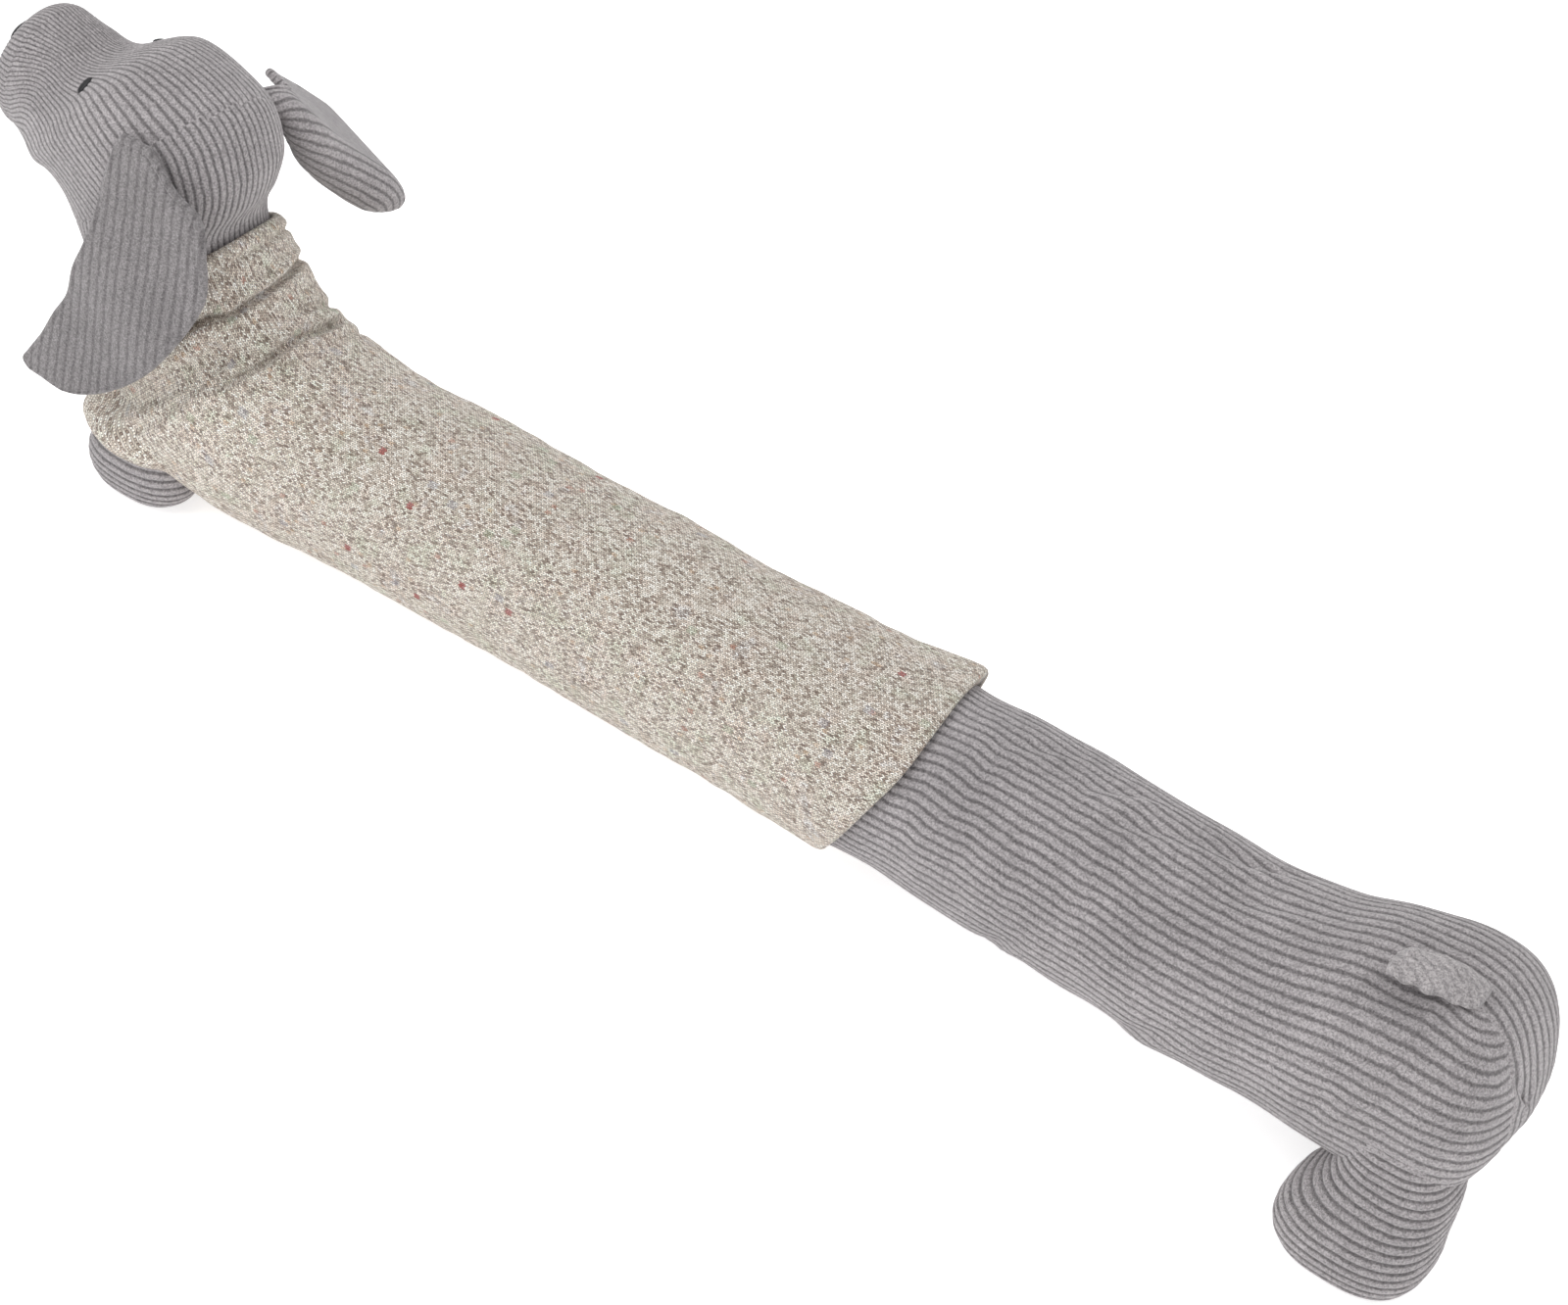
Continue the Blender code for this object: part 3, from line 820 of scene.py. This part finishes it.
def rump_phases(size, angles, squareness, profile):
    """Rib phases on the rump's end, for the side of the seam with level ribs and for the other."""
    high, side = round_box(angles, squareness)
    level, aside = size * high, size * side
    level_angle = inverse(lambda a: round_box(a, squareness)[0], level, 0, math.pi)
    from_flank = BODY_RIBS * level_angle / (2 * math.pi)
    travelled = np.interp(-level, -profile[:, 0], profile[:, 1])
    halfway = np.interp(0.0, -profile[:, 0], profile[:, 1])
    down_middle = BODY_RIBS / 4 + (travelled - halfway) / RUMP_PITCH - RUMP_DROP
    reach = np.maximum(round_box(level_angle, squareness)[1], 1e-3)
    share = np.clip(np.abs(aside) / reach, 0, 1) ** 2
    level_ribs = share * from_flank + (1 - share) * down_middle
    upright_angle = inverse(lambda a: round_box(a, squareness)[1], np.abs(aside), 0, math.pi / 2)
    upright_ribs = BODY_RIBS * np.sign(aside) * upright_angle / (2 * math.pi)
    return level_ribs, upright_ribs, aside, level


def make_body(material):
    """Stuffed corduroy tube with its ribs along it, its rump seam and its creases."""
    angles = ring_angles(BODY_RIBS * RIB_POINTS)
    covered = HEM + 0.35
    flank_places, flank_distance = even_places(0.0, covered, FLANK_STEP)
    inner_places, inner_distance = even_places(covered, NECK_SEAM, COVERED_STEP)
    places = np.concatenate([flank_places, inner_places[1:]])
    distance = np.concatenate([flank_distance, flank_distance[-1] + inner_distance[1:]])
    end_squareness = RUMP_END[2]
    squareness = SKIN_SQUARENESS + (end_squareness - SKIN_SQUARENESS) * (1 - ease(places, 0.0, 1.2))
    wander = waves(RIBS_WANDER, distance[:, None], angles[None, :])
    ragged = waves(RIBS_RAGGED, distance[:, None], angles[None, :])
    turned = angles[None, :] + wander + ragged * ease(places, 2.6, 4.6)[:, None]
    tube = skin(along(SPINE, places), turned, 0.0, squareness[:, None])
    size = end_sizes(110, 0.012)
    last = np.repeat([SPINE[0]], len(size), axis=0)
    low_share = ease(-np.cos(angles)[None, :] * size[:, None], 0.05, 1.0)
    out = end_reach(RUMP_END, size)[:, None] * (1 - RUMP_TUCK * low_share)
    end = skin(last, angles[None, :] + 0 * size[:, None], 0.0, end_squareness, size[:, None], out)
    points = np.concatenate([end[::-1], tube])
    end_count = len(end)
    half_round = len(angles) // 2
    middle_line = np.vstack([tube[:1, 0], end[:, 0], end[::-1, half_round], tube[:1, half_round]])
    profile_level = np.concatenate([[1.0], size, -size[::-1], [-1.0]])
    profile = np.stack([profile_level, travelled_down(middle_line[:, None, :])[:, 0]], -1)
    all_sizes = np.concatenate([size[::-1], np.ones(len(places))])[:, None]
    level_ribs, upright_ribs, aside, level = rump_phases(
        all_sizes, angles[None, :] + 0 * all_sizes, end_squareness, profile
    )
    whole = BODY_RIBS * angles / (2 * math.pi)
    on_left = aside > RUMP_SEAM
    phase = np.where(on_left, level_ribs, upright_ribs)
    phase[end_count:] = whole
    normal = outward(points)
    stretch = np.concatenate([-np.ones(end_count), distance])[:, None]
    lift = RIB_HEIGHT * (rib_shape(phase) - RIB_LEVEL)
    lift = lift * np.concatenate([ease(size[::-1], 0.0, 0.08), np.ones(len(places))])[:, None]
    lift = lift + waves(BODY_UNEVEN, np.maximum(stretch, 0), angles[None, :])
    for row, angle, direction, long, wide, deep in CREASES:
        at = np.interp(row, places, distance)
        along_it = stretch - at
        turn = (angles[None, :] - math.radians(angle) + math.pi) % (2 * math.pi) - math.pi
        round_it = turn * FLANK_RADIUS
        cosine, sine = math.cos(math.radians(direction)), math.sin(math.radians(direction))
        run = along_it * cosine + round_it * sine
        off = -along_it * sine + round_it * cosine
        fade = np.exp(-((run / long) ** 2))
        crease = np.exp(-((off / wide) ** 2))
        swell = np.exp(-(((off - CREASE_SWELL * wide) / wide) ** 2))
        lift = lift - deep * fade * (crease - SWELL_SHARE * swell)
    seam = np.exp(-(((aside - RUMP_SEAM) * SPINE[0][5] / SEAM_WIDTH) ** 2))
    seam = seam * np.concatenate([np.ones(end_count), np.zeros(len(places))])[:, None]
    lift = lift - SEAM_DEPTH * seam * ease(-level, *SEAM_FADE)
    points = points + normal * lift[..., None]
    length = travelled_down(points)

    def values(corners):
        columns = len(angles)
        sides = [on_left[a, b % columns] for a, b in corners]
        left = np.mean(sides, axis=0) > 0.5
        on_end = corners[0][0] < end_count
        found = []
        for a, b in corners:
            around = b % columns
            tube_rib = whole[around] + np.where(b == columns, BODY_RIBS, 0)
            end_rib = np.where(left, level_ribs[a, around], upright_ribs[a, around])
            found.append(np.stack([np.where(on_end, end_rib, tube_rib), length[a, around]], -1))
        return np.stack(found, 2).reshape(-1, 4, 2)

    made = grid_piece("corduroy_body", points, material, values, caps=True)
    settle(made, ["body"])


def make_leg(name, node, material, table, squareness, mirror=None, forward=0.0):
    """Leg or paw of level ribs, standing flat on its sole."""
    table = np.array(table)
    top = table[-1, 0] - 0.1
    dense = along(table, np.linspace(0, len(table) - 1, 400))
    start_height, start_phase = LEG_PHASE
    step = LEG_PITCH / RIB_POINTS
    first = math.floor((start_height - top) / step)
    heights = start_height - step * np.arange(first, first + 400)
    heights = heights[(heights > 0.02) & (heights <= top)]
    heights = np.append(heights, 0.0)
    front, rear, outer, inner = (
        np.interp(heights, dense[:, 0], column)[:, None] for column in dense[:, 1:].T
    )
    angles = ring_angles(112)[None, :]
    cosine, sine = round_box(angles, squareness)
    x = (front + rear) / 2 + (rear - front) / 2 * cosine + forward
    y = (outer + inner) / 2 + (inner - outer) / 2 * sine
    if mirror is not None:
        y = 2 * mirror - y
    points = np.stack([x, y, heights[:, None] + 0 * x], -1)
    phase = start_phase + (start_height - heights) / LEG_PITCH
    normal = outward(points)
    normal[..., 2] *= 0.3
    lift = (LEG_RIB_HEIGHT * (rib_shape(phase) - RIB_LEVEL) * ease(heights, 0.0, 0.3))[:, None]
    lift = lift + waves(LEG_UNEVEN, heights[:, None], angles) * ease(heights, 0.0, 0.6)[:, None]
    points = points + normal * lift[..., None]
    around = travelled_across(points)
    values = wrapped(phase[:, None] + 0 * x, around, 0.0)
    made = grid_piece(name, points, material, values, caps=True)
    settle(made, [node])


def make_head(material):
    """Head and neck, with ribs over the skull and the seam between face and back of the head."""
    angles = ring_angles(HEAD_RIBS * RIB_POINTS)
    places, distance = even_places(NECK_SEAM, LAST_ROW, HEAD_STEP)
    tube = skin(along(SPINE, places), angles[None, :])
    size = end_sizes(36, 0.02)
    last = np.repeat([SPINE[LAST_ROW]], len(size), axis=0)
    blend = SKIN_SQUARENESS + (MUZZLE_END[2] - SKIN_SQUARENESS) * (1 - size)
    out = -end_reach(MUZZLE_END, size)
    end = skin(last, angles[None, :], 0.0, blend[:, None], size[:, None], out[:, None])
    points = np.concatenate([tube, end])
    rows = np.concatenate([places, np.full(len(size), LAST_ROW + 0.5)])[:, None]
    beyond = np.concatenate([distance, np.full(len(size), distance[-1])])[:, None]
    seam_row = round_line(HEAD_SEAM, np.degrees(angles))[None, :]
    facing = rows > seam_row
    whole = (HEAD_RIBS * angles / (2 * math.pi))[None, :]
    agreed = skin_at(np.array([[FACE_ROW]]), np.full((1, 1), math.pi / 2), np.zeros((1, 1)))[0, 0]
    planes = HEAD_RIBS / 4 - (points - agreed) @ np.array(FACE_SLOPE) / FACE_PITCH
    planes = np.where(angles[None, :] < math.pi, planes, HEAD_RIBS - planes)
    side_share = np.sin(angles)[None, :] ** 2 * (1 - ease(rows, *FACE_FADE))
    face_phase = whole + side_share * (planes - whole) + 0.5
    phase = np.where(facing, face_phase, whole)
    fade = np.concatenate([np.ones(len(places)), ease(size, 0.05, 0.45)])[:, None]
    lift = HEAD_RIB_HEIGHT * (rib_shape(phase) - RIB_LEVEL) * fade
    lift = lift - HEAD_SEAM_DEPTH * np.exp(-(((rows - seam_row) / HEAD_SEAM_WIDTH) ** 2))
    lift = lift + waves(HEAD_UNEVEN, beyond, angles[None, :])
    points = points + outward(points) * lift[..., None]
    length = travelled_down(points)

    def values(corners):
        columns = len(angles)
        front = facing[corners[0][0], corners[0][1] % columns]
        found = []
        for a, b in corners:
            around = b % columns
            one = np.where(front, face_phase[a, around], whole[0, around])
            one = one + np.where(b == columns, HEAD_RIBS, 0)
            found.append(np.stack([one, length[a, around]], -1))
        return np.stack(found, 2).reshape(-1, 4, 2)

    made = grid_piece("corduroy_head", points, material, values, caps=True)
    settle(made, ["head"])


def pillow_piece(name, middle, material, values, node):
    """Two sewn layers about a grid of middle points, with the seam showing inside the rim."""
    down, across = travelled_down(middle), travelled_across(middle)
    rim = np.minimum(np.minimum(down, down[-1] - down), np.minimum(across, across[:, -1:] - across))
    normal = np.cross(np.gradient(middle, axis=0), np.gradient(middle, axis=1))
    normal /= np.maximum(np.linalg.norm(normal, axis=2, keepdims=True), 1e-9)
    bend = np.sqrt(1 - (1 - np.clip(rim / EAR_RIM_WIDTH, 0, 1)) ** 2)
    full = EAR_RIM_SHARE + (1 - EAR_RIM_SHARE) * bend
    dip = EAR_SEAM_DEPTH * np.exp(-(((rim - EAR_SEAM) / EAR_SEAM_WIDTH) ** 2))
    ribs = EAR_RIB_HEIGHT * (rib_shape(values[..., 0]) - RIB_LEVEL) * ease(rim, 0.1, 0.35)
    half = EAR_HALF * full - dip + ribs
    front, back = middle + normal * half[..., None], middle - normal * half[..., None]
    rows, columns = middle.shape[:2]
    corner = (np.arange(rows - 1)[:, None] * columns + np.arange(columns - 1)).reshape(-1)
    quads = np.stack([corner, corner + 1, corner + columns + 1, corner + columns], -1)
    offset = rows * columns
    edge = list(range(columns))
    edge += [row * columns + columns - 1 for row in range(1, rows)]
    edge += [(rows - 1) * columns + column for column in range(columns - 2, -1, -1)]
    edge += [row * columns for row in range(rows - 2, 0, -1)]
    edge = np.array(edge)
    after = np.roll(edge, -1)
    sides = np.stack([after, edge, offset + edge, offset + after], -1)
    faces = np.vstack([quads, quads[:, ::-1] + offset, sides])
    points = np.vstack([front.reshape(-1, 3), back.reshape(-1, 3)])
    corner_values = values.reshape(-1, 2)[faces.reshape(-1) % offset]
    made = mesh_piece(name, points, faces.tolist(), corner_values, material)
    settle(made, [node])


def make_near_ear(material):
    """Flat ear hanging over the cheek and the rolled neck."""
    dense = along(NEAR_EAR, np.linspace(0, len(NEAR_EAR) - 1, 900))
    count = int((dense[0, 0] - dense[-1, 0]) / EAR_SPACING)
    heights = np.linspace(dense[0, 0], dense[-1, 0], count)
    front = np.interp(-heights, -dense[:, 0], dense[:, 1])
    rear = np.interp(-heights, -dense[:, 0], dense[:, 2])
    share = np.linspace(0, 1, EAR_COLUMNS)[None, :]
    x = front[:, None] + (rear - front)[:, None] * share
    z = heights[:, None] + 0 * x
    y = EAR_TOP_Y - EAR_SPLAY * (EAR_TOP_Z - z) + EAR_WRAP * (x - EAR_WRAP_X) ** 2
    y = y + 0.10 * np.sin(0.55 * z + 0.5 * x) * ease(EAR_TOP_Z - z, 1.0, 6.0)
    middle = np.stack([x, y, z], -1)
    values = np.stack([(x - EAR_WRAP_X) / EAR_PITCH, z], -1)
    pillow_piece("left_ear_cloth", middle, material, values, "left_ear")


def make_far_ear(material):
    """Ear lifted out sideways, its rear edge rolled under and its tip curled in."""
    rows = along(FAR_EAR, np.linspace(0, len(FAR_EAR) - 1, FAR_EAR_ROWS))
    way = np.array(FLAP_WAY) / np.linalg.norm(FLAP_WAY)
    edges = rows[:, 1:4]
    run = np.gradient(edges, axis=0)
    run /= np.linalg.norm(run, axis=1, keepdims=True)
    flap = way - (run @ way)[:, None] * run
    flap /= np.linalg.norm(flap, axis=1, keepdims=True)
    under = np.cross(flap, run)
    tip = np.sqrt(np.clip(1 - np.clip((rows[:, 0] - 0.86) / 0.143, 0, 1) ** 2, 0.03, 1))
    root = 0.2 + 0.8 * ease(rows[:, 0], -0.12, 0.35)
    depth, roll = rows[:, 4] * (0.4 + 0.6 * tip) * root, rows[:, 5] * tip
    centre = edges + flap * rows[:, 5:6] + under * rows[:, 5:6]
    roll = roll[:, None]
    grid = []
    for part in np.linspace(1, 0, FLAP_COLUMNS):
        grid.append(centre - under * roll + flap * (depth * part)[:, None])
    for turn in np.linspace(0, ROLL_TURN, ROLL_COLUMNS)[1:]:
        grid.append(centre - under * (roll * math.cos(turn)) - flap * (roll * math.sin(turn)))
    middle = np.array(grid).transpose(1, 0, 2)
    down, across = travelled_down(middle), travelled_across(middle)
    slant = FAR_EAR_SLANT * (1 - np.exp(-down / FAR_EAR_TWIST))
    edge = across[:, FLAP_COLUMNS - 1:FLAP_COLUMNS]
    values = np.stack([(across - edge + slant) / FAR_EAR_PITCH, down], -1)
    pillow_piece("right_ear_cloth", middle, material, values, "right_ear")


def fold_line(places, degrees, line, wide):
    """Distance from a fold's line in fold widths, and how much of the fold is left at each angle."""
    table = np.array(line, float)
    start, end = table[0, 0], table[-1, 0]
    turned = np.where(degrees < start - FOLD_FADE, degrees + 360, degrees)
    row = np.interp(turned, table[:, 0], table[:, 1])
    row = row + 0.02 * np.sin(np.radians(turned) * 7 + start)
    share = ease(turned, start - FOLD_FADE / 2, start + FOLD_FADE / 2)
    share = share * (1 - ease(turned, end - FOLD_FADE / 2, end + FOLD_FADE / 2))
    return (places[:, None] - row) / wide, share


def sleeve_stand(places, angles, stand):
    """Stand raised until the knit clears the tops of the two front paws."""
    size = np.array(SLEEVE_SIZE)
    raised = stand.copy()
    for side in (1.0, -1.0):
        middle = np.array(SLEEVE_MIDDLE) * [1.0, side, 1.0]
        for _ in range(60):
            points = skin_at(places, angles, raised)
            inside = (((points - middle) / size) ** 2).sum(axis=-1) < 1
            if not inside.any():
                break
            raised = raised + 0.05 * inside
    return stand + smoothed(raised - stand, 10)


def make_jumper(material):
    """Knitted tube pulled over the body, bunched at its rolled neck, with a turned hem at the waist."""
    outside = np.array(JUMPER)
    angles = ring_angles(JUMPER_COLUMNS)
    degrees = (np.degrees(angles) + 180) % 360 - 180
    torso = even_places(HEM, COLLAR_ROW, TORSO_STEP)[0]
    collar = even_places(COLLAR_ROW, outside[-1, 0], COLLAR_STEP)[0]
    places = np.concatenate([HEM_EDGE, torso[torso > HEM_EDGE[-1] + 0.01], collar[1:]])
    stand = np.interp(places, outside[:, 0], outside[:, 1])[:, None] + 0 * angles[None, :]
    for wide, deep, bulge, line in FOLDS:
        off, share = fold_line(places, degrees, line, wide)
        groove = np.exp(-(off**2)) * deep
        swell = bulge * (np.exp(-(((off - 2.0) / 1.5) ** 2)) + 0.7 * np.exp(-(((off + 2.0) / 1.6) ** 2)))
        stand = stand + (swell - groove) * share
    stand = np.maximum(stand, LEAST_STAND)
    middle, half_wide, rise = HEM_CORNER
    corner = rise * np.exp(-(((degrees - middle) / half_wide) ** 2))
    stand = stand + corner[None, :] * (1 - ease(places, HEM, HEM + 0.5))[:, None]
    near_hem = 1 - ease(places, HEM, HEM_REACH)
    rows = places[:, None] + near_hem[:, None] * (round_line(HEM_ROWS, degrees) - HEM)[None, :]
    rim = round_line(RIM_ROWS, degrees) + 0.015 * np.sin(5 * angles)
    rows = rows + ease(places, RIM_START, outside[-1, 0])[:, None] * rim[None, :]
    for angle, row, wide, tall, rise in NECK_BULGES:
        beside = np.exp(-(((degrees - angle) / wide) ** 2))[None, :]
        stand = stand + rise * beside * np.exp(-(((places - row) / tall) ** 2))[:, None]
    stand = sleeve_stand(rows, angles[None, :], stand)
    points = skin_at(rows, angles[None, :], stand)
    distance = travelled_down(points)
    length = distance.mean(axis=1)[:, None]
    uneven = waves(KNIT_UNEVEN, length, angles[None, :]) + waves(KNIT_UNEVEN_FINE, length, angles[None, :])
    uneven = uneven * ease(places, HEM + 0.05, HEM + 0.4)[:, None]
    points = points + outward(points) * uneven[..., None]
    neck_rings, hem_rings = INNER_RINGS
    to_row = np.linspace(places[-1], INNER_ROW, neck_rings)
    inner_places = np.concatenate([to_row, np.linspace(INNER_ROW, HEM, hem_rings)[1:]])
    near_hem = 1 - ease(inner_places, HEM, HEM_REACH)
    inner_rows = inner_places[:, None] + near_hem[:, None] * (rows[0] - HEM)
    inner_rows[0] = rows[-1]
    inner = skin_at(inner_rows, angles[None, :], np.full((1, 1), JUMPER_INSIDE))
    whole = WALES * angles / (2 * math.pi)
    start = np.searchsorted(places, FIRST_COURSE_ROW)
    courses = (distance - distance[start]) / COURSE
    inner_courses = np.repeat(courses[-1:], len(inner), axis=0) + travelled_down(inner) / COURSE
    shell = np.concatenate([points, inner])
    values = wrapped(whole[None, :] + 0 * shell[..., 0], np.concatenate([courses, inner_courses]), WALES)
    values = np.concatenate([values, values[-1:]])
    made = grid_piece("knitted_jumper", shell, material, values, loop=True)
    settle(made, ["jumper"])


def make_tail(material):
    """Short flat stub sewn into the rump seam and lying forwards."""
    places = np.linspace(0, len(TAIL) - 1, 64)
    rows = along(TAIL, places)
    angles = ring_angles(60)[None, :]
    high, side = round_box(angles, TAIL_SQUARENESS)
    x = rows[:, :1] + 0 * high
    y = rows[:, 1:2] + side * rows[:, 3:4]
    z = rows[:, 2:3] + high * rows[:, 4:5]
    points = np.stack([x, y, z], -1)
    phase = (TAIL_SLOPE[0] * (y - rows[:, 1:2]) + TAIL_SLOPE[1] * x) / TAIL_PITCH
    lift = TAIL_RIB_HEIGHT * (rib_shape(phase) - 0.5) + waves(TAIL_UNEVEN, x, angles)
    lift = lift * ease(places, 0, 0.8)[:, None] * (1 - 0.7 * ease(places, 4.4, 5.0))[:, None]
    points = points + outward(points) * lift[..., None]
    values = wrapped(phase, travelled_across(points), 0.0)
    made = grid_piece("corduroy_tail", points, material, values, caps=True)
    settle(made, ["tail"])


def skin_place(row, angle, size=1.0, out=0.0):
    """One point of the skin at an angle from the back towards the dog's left side."""
    return skin([row], np.array([[angle]]), 0.0, SKIN_SQUARENESS, size, -out)[0, 0]


def make_stitches(name, node, middle, normal, long_way, sizes, material):
    """Low dome of satin stitch, its threads lying across it."""
    half_long, half_wide, rise = sizes
    normal = normal / np.linalg.norm(normal)
    long_way = long_way - np.dot(long_way, normal) * normal
    long_way = long_way / np.linalg.norm(long_way)
    wide_way = np.cross(normal, long_way)
    angles = ring_angles(96)
    rings = []
    for share in np.linspace(1, 0.02, 26):
        height = rise * math.sqrt(1 - share**2.4)
        reach = np.cos(angles) * half_long * share
        ridge = THREAD_HEIGHT * np.cos(2 * math.pi * reach / THREAD) * (1 - share**8)
        lift = STITCH_GAP + height + ridge
        rings.append(
            middle + np.outer(lift, normal) + np.outer(reach, long_way)
            + np.outer(np.sin(angles) * half_wide * share, wide_way)
        )
    rings.insert(0, rings[0] - normal * STITCH_EDGE)
    points = np.array(rings)
    values = wrapped(0 * points[..., 0], 0 * points[..., 0], 0.0)
    made = grid_piece(name, points, material, values, caps=True)
    settle(made, [node])


def make_face(material):
    """Two stitched eyes and a stitched nose."""
    step = 0.02
    eye_angle, lean = math.radians(EYE_ANGLE), math.radians(EYE_LEAN)
    for side, way in (("left", 1.0), ("right", -1.0)):
        eye_row, fore_row = along(SPINE, [EYE_ROW, EYE_ROW + step])
        middle = skin_place(eye_row, way * eye_angle)
        forward = skin_place(fore_row, way * eye_angle) - middle
        downward = skin_place(eye_row, way * (eye_angle + step)) - middle
        forward, downward = forward / np.linalg.norm(forward), downward / np.linalg.norm(downward)
        long_way = math.sin(lean) * forward + math.cos(lean) * downward
        normal = way * np.cross(forward, downward)
        make_stitches(f"{side}_eye_stitches", f"{side}_eye", middle, normal, long_way, EYE, material)
    tip = np.array(SPINE[LAST_ROW])

    def muzzle(size, angle):
        return skin_place(tip, angle, size, end_reach(MUZZLE_END, size))

    middle = muzzle(NOSE_SIZE, 0.0)
    nose_up = muzzle(NOSE_SIZE + step, 0.0) - middle
    nose_side = muzzle(NOSE_SIZE, step) - muzzle(NOSE_SIZE, -step)
    normal = np.cross(nose_side, nose_up)
    make_stitches("nose_stitches", "nose", middle, normal, nose_side, NOSE, material)


def make_camera():
    """Camera at the photograph's place and angle."""
    turn, tilt, roll = (math.radians(a) for a in (CAMERA_TURN, CAMERA_TILT, CAMERA_ROLL))
    ahead = np.array([math.sin(turn) * math.cos(tilt), math.cos(turn) * math.cos(tilt), -math.sin(tilt)])
    level = np.array([math.cos(turn), -math.sin(turn), 0.0])
    above = np.cross(level, ahead)
    right = math.cos(roll) * level + math.sin(roll) * above
    up = -math.sin(roll) * level + math.cos(roll) * above
    data = bpy.data.cameras.new("photo_camera")
    data.sensor_width = SENSOR_WIDTH
    data.lens = CAMERA_FOCAL / PHOTO_WIDTH * SENSOR_WIDTH
    made = bpy.data.objects.new("photo_camera", data)
    matrix = Matrix.Identity(4)
    for column, axis in enumerate((right, up, -ahead)):
        for row in range(3):
            matrix[row][column] = axis[row]
    matrix.translation = CAMERA_PLACE
    made.matrix_world = matrix
    bpy.context.scene.collection.objects.link(made)
    bpy.context.scene.camera = made


def make_light(name, spot, aim, size, power):
    """Large soft lamp at spot, turned towards aim."""
    data = bpy.data.lights.new(name, "AREA")
    data.shape = "DISK"
    data.size = size
    data.energy = power
    made = bpy.data.objects.new(name, data)
    bpy.context.scene.collection.objects.link(made)
    way = np.array(aim) - np.array(spot)
    made.rotation_euler = Vector(way).to_track_quat("-Z", "Y").to_euler()
    made.location = spot


def make_studio():
    """White floor and soft light from all sides, a little stronger from above and the left."""
    make = Nodes("studio_floor")
    make.set(Base_Color=(FLOOR_SHADE, FLOOR_SHADE, FLOOR_SHADE, 1.0), Roughness=0.9)
    make.set(Emission_Color=(1.0, 1.0, 1.0, 1.0), Emission_Strength=FLOOR_GLOW)
    mesh = bpy.data.meshes.new("floor")
    half = FLOOR_HALF
    corners = [(-half, -half, 0.0), (half, -half, 0.0), (half, half, 0.0), (-half, half, 0.0)]
    mesh.from_pydata(corners, [], [(0, 1, 2, 3)])
    mesh.materials.append(make.material)
    floor = bpy.data.objects.new("floor", mesh)
    bpy.context.scene.collection.objects.link(floor)
    world = bpy.data.worlds.new("studio")
    world.use_nodes = True
    sky = world.node_tree.nodes["Background"].inputs
    sky["Color"].default_value = (1.0, 1.0, 1.0, 1.0)
    sky["Strength"].default_value = WORLD_LIGHT
    bpy.context.scene.world = world
    for lamp in LAMPS:
        make_light(*lamp)
    bpy.context.scene.view_settings.view_transform = "Standard"


make_camera()
make_studio()
corduroy = corduroy_material("corduroy", *CORDUROY)
# Copy darkened as painted shade, with soft ribs of brushed pile, for the hanging ear.
brushed_and_shaded = corduroy_material("brushed_and_shaded_corduroy", *BRUSHED_AND_SHADED)
# Copy lightened as painted sheen, with soft ribs of flattened pile, for the tail.
flat_and_sheen = corduroy_material("flat_and_sheen_corduroy", *FLAT_AND_SHEEN)
knit = knit_material()
thread = thread_material()

make_body(corduroy)
make_leg("near_hind_leg_cloth", "body", corduroy, HIND_LEG, LEG_SQUARENESS)
make_leg("far_hind_leg_cloth", "body", corduroy, HIND_LEG, LEG_SQUARENESS, LEG_MIDDLE_Y, FAR_LEG_FORWARD)
make_head(corduroy)
make_jumper(knit)
make_near_ear(brushed_and_shaded)
make_far_ear(corduroy)
make_leg("left_paw_cloth", "left_front_paw", corduroy, FRONT_PAW, PAW_SQUARENESS)
make_leg("right_paw_cloth", "right_front_paw", corduroy, FRONT_PAW, PAW_SQUARENESS, PAW_MIDDLE_Y)
make_tail(flat_and_sheen)
make_face(thread)
